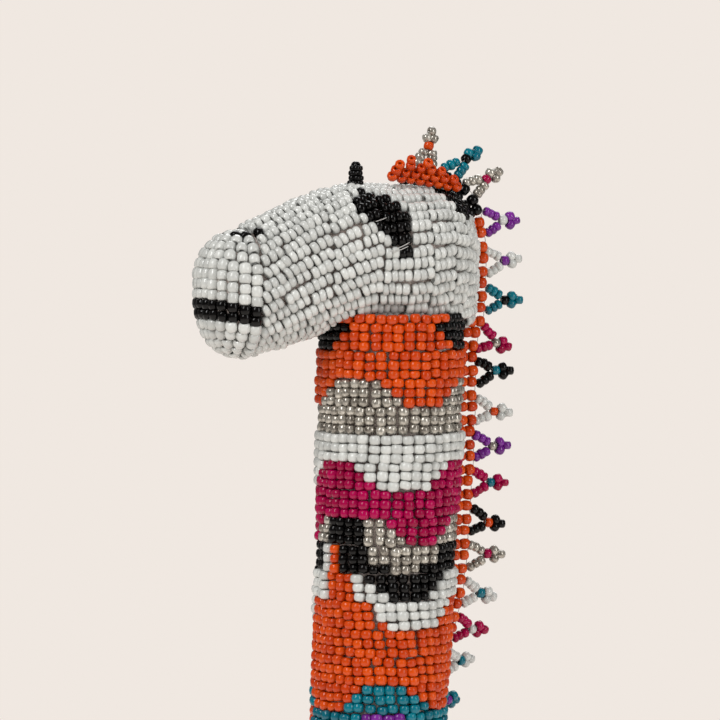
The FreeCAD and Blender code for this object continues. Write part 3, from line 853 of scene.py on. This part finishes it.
def build_ear(side):
    """A cupped flap one bead thick."""
    front, along, rise, face = ear_frame(side)
    outward = face * math.copysign(1, face @ head_place(EAR_PLACES[side][0] * 9, 0, -JAW_Z))
    beads = Beads()
    for number, (height, start, end) in enumerate(EAR_ROWS):
        count = max(round((end - start) / (EAR_BEAD_R * 1.75)), 2)
        a = np.linspace(start + 0.6, end - 0.6, count) + 0.5 * (number % 2)
        cup = 0.9 * np.sin(a / EAR_LENGTH * math.pi) * (height / EAR_HEIGHT) - 0.35 * height / EAR_HEIGHT
        lift = RNG.normal(0, 0.12, count)
        points = front + a[:, None] * along + (height + lift)[:, None] * rise + cup[:, None] * outward
        fan = (a / EAR_LENGTH - 0.55)[:, None] * along * 0.9
        holes = unit(rise + fan + outward * 0.5)
        radius, half = skin_sizes(count, EAR_BEAD_R, EAR_BEAD_HALF)
        beads.add(points, holes, outward, radius, half, colour_number("orange"))
    bead_piece("ear_beads_" + side, beads, "ear_" + side, ("ear_" + side,))


def build_horn():
    """Rings of small black beads that narrow to one bead at the tip."""
    beads = Beads()
    foot = head_place(0, HORN_FORWARD, SKULL_TOP - 0.6)
    for ring in range(HORN_RINGS):
        reach = HORN_REACH - HORN_TAPER * ring
        turn = np.arange(5) * 72.0 + 36.0 * (ring % 2)
        out = turned(np.array((1.0, 0, 0)), turn)
        points = foot + out * reach + np.array((0, 0, 0.8 + HORN_PITCH * ring))
        beads.add(points, (0, 0, 1), out, 0.95, 0.64, colour_number("black"))
    beads.add(foot + np.array((0, 0, 5.0)), (1, 0, 0), (0, 0, 1), 1.15, 0.95, colour_number("black"))
    bead_piece("horn_beads", beads, "figure", ("forehead_horn",))


# --- mane -------------------------------------------------------------------------------------------
THREAD_R = 0.10
RUNG_PITCH = 3.07
RUNG_PAIR = 0.16          # how far two neighbouring rungs lean towards each other
RUNG_BEAD_R = 1.42
RUNG_BEAD_HALF = 1.15
RUNG_INNER = 0.95         # distances of a rung's two beads from the skin
RUNG_OUTER = 3.3
FIRST_RUNG = 1.2          # length along the mane at the first rung
PICOT_BEAD_R = 1.28
PICOT_BEAD_HALF = 0.98
PICOT_ARM_HALF = 0.80
PICOT_MIDDLE = 5.6        # distance of the picot's middle bead from the mane's edge
PICOT_MIDDLE_HALF = 0.95  # half the length kept for the middle bead and for the tip bead
PICOT_FOOT = 0.62         # distance of the arms' first beads from the mane's edge
PICOT_THREAD_FOOT = 0.35  # and of the thread's ends
PICOT_TIP = 3.55          # distance of the tip bead beyond the middle one
# main and middle colour of each picot, from the top of the mane down
PICOT_COLOURS = (
    ("silver", "orange"), ("teal", "black"), ("silver", "magenta"), ("purple", "white"),
    ("white", "purple"), ("teal", "black"), ("magenta", "silver"), ("black", "teal"),
    ("white", "orange"), ("purple", "silver"), ("magenta", "teal"), ("black", "orange"),
    ("silver", "magenta"), ("white", "teal"), ("magenta", "white"), ("white", "teal"),
    ("teal", "purple"), ("orange", "black"), ("purple", "silver"), ("silver", "orange"),
    ("black", "teal"), ("teal", "magenta"), ("magenta", "silver"), ("white", "orange"),
)
PICOT_BENDS = (0.14, 0.52, 0.28)   # how far the first picots bend down the mane, per length of reach
POLL_RUNGS_END = 20.6     # the rungs above this length are black


def mane_path(s):
    """Skin point, outward direction and downward direction of the mane at a length s."""
    arc_length = MANE_START * SKULL_ROUND
    if s < arc_length:
        angle = MANE_START - s / SKULL_ROUND
        c, sine = math.cos(angle), math.sin(angle)
        behind = SKULL_BACK - SKULL_ROUND + SKULL_ROUND * c
        skin = np.array((0.0, behind, JAW_Z + SKULL_TOP - SKULL_ROUND + SKULL_ROUND * sine))
        return turned(skin, HEAD_YAW), turned((0.0, c, sine), HEAD_YAW), turned((0.0, sine, -c), HEAD_YAW)
    z = JAW_Z + SKULL_TOP - SKULL_ROUND - (s - arc_length)
    joined = (JAW_Z + SKULL_JOIN_RISE - z) / (SKULL_JOIN_RISE + SKULL_JOIN_DROP)
    radius = SKULL_BACK - (SKULL_BACK - neck_radius(JAW_Z)) * smooth(joined)
    if z < JAW_Z - SKULL_JOIN_DROP:
        radius = neck_radius(z)
    out = turned((0.0, 1.0, 0.0), seam_yaw(z))
    return neck_axis(z) + out * radius, out, np.array((0.0, 0.0, -1.0))


def mane_edge(s):
    """Outer edge of the mane band."""
    skin, out, _ = mane_path(s)
    return skin + out * MANE_HEIGHT


def thread_mesh(name, lines):
    """Thin round threads along lines of points, as one mesh."""
    sides = 6
    vertices, faces = [], []
    for line in lines:
        line = np.asarray(line, float)
        first = len(vertices)
        ahead = unit(np.gradient(line, axis=0))
        guide = np.array((0.31, 0.52, 0.79))
        across = unit(np.cross(ahead, guide))
        other = np.cross(ahead, across)
        for point, a, b in zip(line, across, other):
            for k in range(sides):
                angle = 2 * math.pi * k / sides
                vertices.append(point + THREAD_R * (a * math.cos(angle) + b * math.sin(angle)))
        for row in range(len(line) - 1):
            for k in range(sides):
                low, next_low = first + row * sides + k, first + row * sides + (k + 1) % sides
                faces.append((low, next_low, next_low + sides, low + sides))
        faces.append(tuple(first + k for k in reversed(range(sides))))
        faces.append(tuple(first + (len(line) - 1) * sides + k for k in range(sides)))
    mesh = bpy.data.meshes.new(name)
    mesh.from_pydata(to_frame(vertices).tolist(), [], faces)
    mesh.materials.append(nylon_material())
    for polygon in mesh.polygons:
        polygon.use_smooth = True
    return mesh


def curve_through(points, count=16):
    """Smooth line through a few points."""
    points = np.asarray(points, float)
    padded = np.vstack((2 * points[0] - points[1], points, 2 * points[-1] - points[-2]))
    line = []
    for i in range(1, len(padded) - 2):
        a, b, c, d = padded[i - 1:i + 3]
        for t in np.linspace(0, 1, count, endpoint=False):
            line.append(0.5 * (2 * b + (c - a) * t + (2 * a - 5 * b + 4 * c - d) * t**2
                               + (3 * b - a - 3 * c + d) * t**3))
    line.append(points[-1])
    return np.array(line)


def picot_place(index):
    """Length along the mane at the middle of a picot."""
    if index < PICOT_CLOSE_COUNT:
        return PICOT_CLOSE_FIRST + PICOT_CLOSE_PITCH * index
    return PICOT_FIRST + PICOT_PITCH * (index - PICOT_CLOSE_COUNT)


def mane_length():
    return picot_place(PICOT_COUNT - 1) + PICOT_PITCH / 2


def build_mane_band():
    """Rungs of two beads that stand out from the skin, held by thread loops along the edge."""
    beads = Beads()
    edge = []
    loops = []
    bend = MANE_START * SKULL_ROUND
    on_crown = np.arange(FIRST_RUNG, bend, RUNG_PITCH * SKULL_ROUND / (SKULL_ROUND + MANE_HEIGHT))
    below = np.arange(on_crown[-1] + RUNG_PITCH, mane_length() - 0.5, RUNG_PITCH)
    for number, s in enumerate(np.concatenate((on_crown, below))):
        pair = RUNG_PAIR if number % 2 else -RUNG_PAIR
        skin, out, down = mane_path(s + pair)
        side = np.cross(out, down)
        reach = RNG.normal(0, 0.18)
        sway = side * RNG.normal(0, 0.25)
        hole = unit(out + down * RNG.normal(0, 0.10) + side * RNG.normal(0, 0.08))
        colour = colour_number("black" if s < POLL_RUNGS_END else "orange")
        for depth in (RUNG_INNER, RUNG_OUTER + reach):
            radius, half = skin_sizes(1, RUNG_BEAD_R, RUNG_BEAD_HALF)
            beads.add(skin + out * depth + sway, hole, side, radius, half, colour)
        edge.append(skin + out * (MANE_HEIGHT + 0.1 + reach) + sway)
    for first, second in zip(edge[:-1], edge[1:]):
        bow = unit(first + second - 2 * neck_axis((first[2] + second[2]) / 2)) * 0.25
        middle = (first + second) / 2 + bow
        loops.append(curve_through((first, middle, second), 5))
    bead_piece("mane_beads", beads, "figure", ("mane_band",))
    place_piece(thread_mesh("mane_thread", loops), "figure")


def picot_lean(index):
    """Tip of a picot up or down the mane, as in the CAD model."""
    return math.radians(PICOT_LEAN * math.sin(LEAN_STEP * index + LEAN_START))


def picot_half_span(index):
    """Half the distance between the feet of a picot's two arms."""
    return PICOT_CLOSE_HALF_SPAN if index < PICOT_CLOSE_COUNT else PICOT_HALF_SPAN


def picot_axes(index):
    """Root on the mane's edge, and the outward, downward and sideways directions of a picot."""
    s, half_span = picot_place(index), picot_half_span(index)
    down = unit(mane_edge(s + half_span) - mane_edge(s - half_span))
    out = mane_path(s)[1]
    out = unit(out - down * (out @ down))
    return mane_edge(s), out, down, np.cross(out, down)


def add_string(beads, start, end, side, count, colour, bead_half=PICOT_BEAD_HALF):
    """A few beads of one colour strung between two points."""
    shares = (np.arange(count) + 0.5) / count
    points = start + (end - start) * shares[:, None] + RNG.normal(0, 0.07, (count, 3))
    radius, half = skin_sizes(count, PICOT_BEAD_R, bead_half)
    beads.add(points, unit(end - start), side, radius, half, colour)


def build_picot(index):
    """Two arms of three beads that meet at a middle bead, and a loop of three beads at the tip."""
    root, out, down, side = picot_axes(index)
    half_span, lean = picot_half_span(index), picot_lean(index)
    sway = RNG.normal(0, 0.16)
    bend = PICOT_BENDS[index] if index < len(PICOT_BENDS) else 0.0

    def spot(reach, along):
        along = along + bend * max(reach - 0.5, 0.0)
        x = reach * math.cos(lean) - along * math.sin(lean)
        y = reach * math.sin(lean) + along * math.cos(lean)
        return root + out * x + down * y + side * sway * (reach / 5.0) ** 2

    main, middle_colour = (colour_number(name) for name in PICOT_COLOURS[index])
    beads = Beads()
    middle = PICOT_MIDDLE + RNG.normal(0, 0.12)
    arms_end = middle - PICOT_BEAD_HALF - 0.15
    before, after = spot(middle - PICOT_MIDDLE_HALF, 0), spot(middle + PICOT_MIDDLE_HALF, 0)
    roots = [spot(PICOT_FOOT, sign * half_span) for sign in (-1, 1)]
    for sign, start in zip((-1, 1), roots):
        add_string(beads, start, spot(arms_end, sign * PICOT_MIDDLE_HALF), side, 3, main, PICOT_ARM_HALF)
    add_string(beads, before, after, side, 1, middle_colour)
    swing = RNG.normal(0, 0.2)
    near = [spot(middle + 1.0, sign * 0.55) for sign in (-1, 1)]
    far = [spot(middle + 2.7, sign * 1.35 + swing) for sign in (-1, 1)]
    for start, end in zip(near, far):
        add_string(beads, start, end, side, 1, main)
    tip = spot(middle + PICOT_TIP, swing)
    across = down * PICOT_MIDDLE_HALF
    add_string(beads, tip - across, tip + across, side, 1, main)

    name = "%02d" % (index + 1)
    body, slot = "picot_" + name, PICOT_COLOURS[index][0] + "_beads"
    bead_piece("picot_beads_" + name, beads, body, ("mane_picot_" + name,))
    base = [spot(PICOT_THREAD_FOOT, sign * half_span) for sign in (-1, 1)]
    line = (base[0], roots[0], spot(arms_end, -0.75), before, after, far[0], tip, far[1], after, before,
            spot(arms_end, 0.75), roots[1], base[1])
    place_piece(thread_mesh("picot_thread_" + name, [curve_through(line, 4)]), body)


# --- body, legs and tail ----------------------------------------------------------------------------
def body_profile(share):
    """Radius, place along the back and whole length, at a share of the way from chest to rump."""
    flat = BODY_R - BODY_ROUND
    bend = BODY_ROUND * math.pi / 2
    straight = BODY_LENGTH - 2 * BODY_ROUND
    total = 2 * (flat + bend) + straight
    way = share * total
    mirrored = way > total / 2
    way = min(way, total - way)
    if way < flat:
        radius, place = way, -BODY_LENGTH / 2
    elif way < flat + bend:
        angle = (way - flat) / BODY_ROUND
        radius = flat + BODY_ROUND * math.sin(angle)
        place = -BODY_LENGTH / 2 + BODY_ROUND * (1 - math.cos(angle))
    else:
        radius, place = BODY_R, -BODY_LENGTH / 2 + BODY_ROUND + (way - flat - bend)
    return radius, -place if mirrored else place, total


def body_spot(share, turn, inset):
    """Point of the body's form, turn degrees round from the top of the back."""
    step = 0.002
    radius, place, _ = body_profile(share)
    r_low, p_low, _ = body_profile(max(share - step, 0.0))
    r_high, p_high, _ = body_profile(min(share + step, 1.0))
    along = unit(np.array((r_high - r_low, p_high - p_low)))
    angle = np.radians(turn)
    ring = np.stack((np.sin(angle), 0 * angle, np.cos(angle)), axis=-1)
    back = np.array((0.0, 1.0, 0.0))
    hole = ring * along[0] + back * along[1]
    out = ring * along[1] - back * along[0]
    points = ring * radius + back * place - out * inset
    slope = math.radians(BODY_SLOPE)
    tip = np.array(((1, 0, 0), (0, math.cos(slope), math.sin(slope)), (0, -math.sin(slope), math.cos(slope))))
    return points @ tip.T + BODY_CENTRE, hole @ tip.T, out @ tip.T


def in_neck(points):
    z = points[:, 2]
    reach = np.linalg.norm((points - neck_axis(z))[:, :2], axis=1)
    return (z > NECK_FOOT_Z) & (reach < neck_radius(z) - HIDDEN_DEPTH)


def leg_radius(z):
    return LEG_FOOT_R + (LEG_TOP_R - LEG_FOOT_R) * (z - HOOF_HEIGHT) / (LEG_TOP_Z - HOOF_HEIGHT)


def legs():
    """Name and place of each leg; the giraffe's left is +X."""
    return (("front_left", LEG_X, FRONT_LEG_Y), ("front_right", -LEG_X, FRONT_LEG_Y),
            ("rear_left", LEG_X, REAR_LEG_Y), ("rear_right", -LEG_X, REAR_LEG_Y))


def in_legs(points):
    found = np.zeros(len(points), bool)
    for _, x, y in legs():
        reach = np.hypot(points[:, 0] - x, points[:, 1] - y)
        low = points[:, 2] < LEG_TOP_Z - LEG_TOP_HIDDEN
        found |= (reach < leg_radius(points[:, 2]) - HIDDEN_DEPTH) & low
    return found


BODY_LOBES = 4
LEG_LOBES = 2
HOOF_LOOSE = 0.6          # hoof beads lie more evenly than the other skins


def build_body():
    """The body's skin from the chest to the rump, in two pieces."""
    beads = Beads()
    total = body_profile(0.0)[2]
    rows = int(total / ROW)
    for group in range(math.ceil(rows / STACK)):
        middle_share = min((STACK * group + 1.5) / rows, 1.0)
        count = max(round(2 * math.pi * body_profile(middle_share)[0] / COLUMN), 3)
        noise = stack_noise(count)
        ground, motifs = lower_band(group, BODY_LOBES, start=3)
        for row in range(STACK):
            share = (STACK * group + row + 0.5) / rows
            if share > 1.0:
                break
            turn = 360.0 / count * (np.arange(count) + 0.5 * (group % 2))
            points, holes, outs = body_spot(share, turn, SKIN_BEAD_R)
            points, holes = uneven(points, holes, outs, noise)
            radius, half = skin_sizes(count)
            beads.add(points, holes, outs, radius, half,
                      motif_colours(ground, motifs, row, turn, count, BODY_LOBES))
    table = beads.table()
    covered = in_neck(table[:, :3]) | in_legs(table[:, :3])
    table = table[~covered]
    front = table[:, 1] < BODY_CENTRE[1]
    bead_piece("body_beads_front", table[front], "figure", ("body_beadwork",), PLAIN)
    bead_piece("body_beads_rear", table[~front], "figure", ("body_beadwork",), PLAIN)


def build_leg(number, name, x, y):
    """One leg's skin, and its black hoof with rings of beads under the sole."""
    axis_at = lambda z: np.array((x, y, 0.0)) + np.multiply.outer(np.asarray(z, float), (0, 0, 1.0))
    band_at = lambda group: lower_band(group, LEG_LOBES, start=5 + 4 * number)
    table = upright_tube(LEG_TOP_Z - 2.0, HOOF_HEIGHT + ROW * 0.5, axis_at, leg_radius, lambda z: 0.0,
                         band_at, LEG_LOBES)
    table = table[~in_body(table[:, :3], -JOINT_OVERLAP) & (table[:, 2] > HOOF_HEIGHT + HOOF_LIP)]
    bead_piece("leg_beads_" + name, table, "figure", ("leg_beadwork_" + name,), PLAIN)

    hoof_radius = lambda z: HOOF_R - (HOOF_R - LEG_FOOT_R - HOOF_LIP) * z / HOOF_HEIGHT
    wall = upright_tube(HOOF_HEIGHT - 1.0, 2.2, axis_at, hoof_radius, lambda z: 4.0,
                        lambda group: ("black", ()), 1, HOOF_LOOSE)
    wall = wall[wall[:, 2] > SKIN_BEAD_R]
    sole = Beads()
    for reach in np.arange(HOOF_R - 2.0, 0.0, -COLUMN * 0.97):
        count = max(round(2 * math.pi * reach / (2.15 * SKIN_BEAD_HALF)), 1)
        turn = 360.0 / count * np.arange(count)
        out = turned(np.array((1.0, 0, 0)), turn)
        points = axis_at(SKIN_BEAD_R) + out * reach
        radius = np.full(count, SKIN_BEAD_R - 0.02)
        sole.add(points, turned(np.array((0, 1.0, 0)), turn), (0, 0, -1), radius, SKIN_BEAD_HALF,
                 colour_number("black"))
    table = np.vstack((wall, sole.table()))
    bead_piece("hoof_beads_" + name, table, "figure", ("hoof_" + name,), PLAIN)


TAIL_GAP = 0.5
TAIL_RINGS = 22
ROPE_REACH = 1.45         # distance of the rope's beads from its middle
ROPE_BEAD_R = 1.12
ROPE_BEAD_HALF = 0.95
ROPE_BANDS = 8            # colours along the rope, two rings each
TASSEL_STRANDS = 9
TASSEL_BEADS = 13
TASSEL_BEAD_R = 1.05


def tail_box(node):
    """Middle of a tail node, its top and its bottom, in the drawing frame."""
    low, high = (np.array(corner) * 1000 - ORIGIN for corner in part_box(node))
    return (low[0] + high[0]) / 2, (low[1] + high[1]) / 2, high[2], low[2]


def build_tail_knot():
    """One bead on the rump that the rope hangs from."""
    x, y, top, bottom = tail_box("tail_knot")
    knot = Beads()
    knot.add((x, y, (top + bottom) / 2), (0, 1, 0), (0, 0, 1), 2.5, 2.1, colour_number("black"))
    bead_piece("tail_knot_bead", knot, "figure", ("tail_knot",))


def build_tail_rope():
    """A rope of rings of five small beads in coloured bands, on a thread from the knot."""
    x, y, top, bottom = tail_box("tail_rope")
    rope = Beads()
    pitch = (top - bottom) / TAIL_RINGS
    for ring in range(TAIL_RINGS):
        turn = np.arange(5) * 72.0 + 36.0 * (ring % 2) + RNG.normal(0, 3.0)
        out = turned(np.array((1.0, 0, 0)), turn)
        points = np.array((x, y, top - pitch * (ring + 0.5))) + out * ROPE_REACH
        radius, half = skin_sizes(5, ROPE_BEAD_R, ROPE_BEAD_HALF)
        colour = LOWER_BANDS[(ring // 2) % ROPE_BANDS]
        rope.add(points, (0, 0, 1), out, radius, half, colour_number(colour))
    bead_piece("tail_rope_beads", rope, "tail", ("tail_rope",))
    knot_z = sum(tail_box("tail_knot")[2:]) / 2
    loop = [(x, y, knot_z - 1.6), (x + 0.6, y, top + 0.5), (x, y, top - 2.0)]
    core = [(x, y, top - 1.0), (x, y, (top + bottom) / 2), (x, y, bottom + 0.4)]
    lines = [curve_through(loop, 6), curve_through(core, 6)]
    place_piece(thread_mesh("tail_thread", lines), "tail")


def build_tassel():
    """Strands of small black beads that flare downwards, each with an orange bead at its end."""
    x, y, top, bottom = tail_box("tail_tassel")
    tassel = Beads()
    lines = []
    share = (np.arange(TASSEL_BEADS) + 0.5) / TASSEL_BEADS
    colours = np.full(TASSEL_BEADS, colour_number("black"))
    colours[-1] = colour_number("orange")
    for strand in range(TASSEL_STRANDS):
        inner = strand == TASSEL_STRANDS - 1
        turn = 360.0 / (TASSEL_STRANDS - 1) * strand + RNG.normal(0, 5.0)
        out = turned((1.0, 0, 0), turn) * (0.1 if inner else 1.0)
        flare = 0.9 + 2.5 * share**0.6 + RNG.normal(0, 0.1)
        length = (top - bottom) * (0.96 + RNG.uniform(-0.05, 0.03))
        points = np.array((x, y, top)) + out * flare[:, None]
        points[:, 2] -= share * length
        holes = unit(np.gradient(points, axis=0))
        radius, half = skin_sizes(TASSEL_BEADS, TASSEL_BEAD_R, length / TASSEL_BEADS / 2 * 0.97)
        tassel.add(points, holes, np.cross(holes, (0.3, 0.2, 0.1)), radius, half, colours)
        lines.append(curve_through(np.vstack(((x, y, top + TAIL_GAP), points)), 3))
    bead_piece("tassel_beads", tassel, "tassel", ("tail_tassel",))
    place_piece(thread_mesh("tassel_thread", lines), "tassel")


# --- stage ------------------------------------------------------------------------------------------
CAMERA_TURN = 38.0        # degrees from straight in front, towards the giraffe's left
CAMERA_RISE = 2.5
CAMERA_DISTANCE = 800.0
VIEW_WIDTH = 177.0        # width that the camera sees at the neck
VIEW_ASIDE = -7.6         # middle of the view beside the neck's axis, to the camera's right
VIEW_HEIGHT = 401.4
SENSOR_WIDTH = 36.0
LIGHT_DROP = 30.0         # the lights aim this far below the middle of the view
FLOOR_R = 1.9             # metres
BACKDROP = (0.871, 0.807, 0.753)


def look_at(item, place, target):
    """Put a camera or light at a place, upright and pointing at the target."""
    way = target - place
    item.location = to_frame(place)
    heading = math.atan2(-way[0], way[1])
    pitch = math.atan2(way[2], math.hypot(way[0], way[1]))
    item.rotation_euler = (math.pi / 2 + pitch, 0.0, heading)


def direction(turn, rise):
    """Unit vector from the neck, turned from straight in front to the giraffe's left and raised."""
    turn, rise = math.radians(turn), math.radians(rise)
    return np.array((math.sin(turn) * math.cos(rise), -math.cos(turn) * math.cos(rise), math.sin(rise)))


def build_camera():
    turn = math.radians(CAMERA_TURN)
    target = np.array((0, 0, VIEW_HEIGHT)) + np.array((math.cos(turn), math.sin(turn), 0.0)) * VIEW_ASIDE
    data = bpy.data.cameras.new("camera")
    camera = bpy.data.objects.new("camera", data)
    bpy.context.scene.collection.objects.link(camera)
    data.sensor_width = SENSOR_WIDTH
    data.lens = SENSOR_WIDTH * CAMERA_DISTANCE / VIEW_WIDTH
    data.clip_start = 0.01
    data.clip_end = 50.0
    look_at(camera, target + direction(CAMERA_TURN, CAMERA_RISE) * CAMERA_DISTANCE, target)
    bpy.context.scene.camera = camera


def build_light(name, turn, rise, distance, width, height, power):
    """A soft upright light aimed at the neck, turned from the camera's direction."""
    target = np.array((0, 0, VIEW_HEIGHT - LIGHT_DROP))
    data = bpy.data.lights.new(name, "AREA")
    data.shape = "RECTANGLE"
    data.size = width / 1000
    data.size_y = height / 1000
    data.energy = power
    light = bpy.data.objects.new(name, data)
    bpy.context.scene.collection.objects.link(light)
    look_at(light, target + direction(CAMERA_TURN + turn, rise) * distance, target)


ROOM_LIGHT = 0.64         # strength of the surround where it lights the beads
ROOM_SHINE = 0.14         # and where it is mirrored in them


def build_stage():
    """A pale floor, a pale surround and soft studio lights."""
    base = (0, 0, float(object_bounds()[0][2]))
    bpy.ops.mesh.primitive_circle_add(vertices=96, radius=FLOOR_R, fill_type="NGON", location=base)
    floor = bpy.context.object
    floor.name = "floor"
    material, tree, shader = new_material("pale_paper")
    noise = add_node(tree, "ShaderNodeTexNoise", Scale=60.0, Detail=3.0)
    tint = ramp(tree, noise.outputs["Fac"], ((0.3, (0.90, 0.85, 0.80)), (0.7, (0.94, 0.89, 0.84))))
    tree.links.new(tint, shader.inputs["Base Color"])
    shader.inputs["Roughness"].default_value = 0.9
    shader.inputs["Emission Color"].default_value = (*BACKDROP, 1)
    shader.inputs["Emission Strength"].default_value = 0.1
    floor.data.materials.append(material)

    world = bpy.data.worlds.new("surround")
    bpy.context.scene.world = world
    world.use_nodes = True
    tree = world.node_tree
    seen = tree.nodes["Background"]
    seen.inputs["Color"].default_value = (*BACKDROP, 1)
    light = add_node(tree, "ShaderNodeBackground", Color=(1.0, 0.985, 0.96, 1))
    rays = tree.nodes.new("ShaderNodeLightPath")
    strength = add_node(tree, "ShaderNodeMapRange", **{"To Min": ROOM_LIGHT, "To Max": ROOM_SHINE})
    tree.links.new(rays.outputs["Is Glossy Ray"], strength.inputs["Value"])
    tree.links.new(strength.outputs["Result"], light.inputs["Strength"])
    mix = tree.nodes.new("ShaderNodeMixShader")
    tree.links.new(rays.outputs["Is Camera Ray"], mix.inputs["Fac"])
    tree.links.new(light.outputs["Background"], mix.inputs[1])
    tree.links.new(seen.outputs["Background"], mix.inputs[2])
    tree.links.new(mix.outputs["Shader"], tree.nodes["World Output"].inputs["Surface"])

    build_light("key_light", -40.0, 38.0, 900.0, 220.0, 640.0, 4.1)
    build_light("fill_light", 50.0, 15.0, 1000.0, 220.0, 700.0, 3.0)
    build_light("back_light", 170.0, 45.0, 1000.0, 600.0, 600.0, 3.0)
    bpy.context.scene.view_settings.view_transform = "Standard"


build_camera()
finish_cad_nodes()
build_neck()
build_head()
build_muzzle()
for ear_side in EAR_PLACES:
    build_ear(ear_side)
build_horn()
build_mane_band()
for picot_index in range(PICOT_COUNT):
    build_picot(picot_index)
build_body()
for leg_number, leg in enumerate(legs()):
    build_leg(leg_number, *leg)
build_tail_knot()
build_tail_rope()
build_tassel()
build_stage()
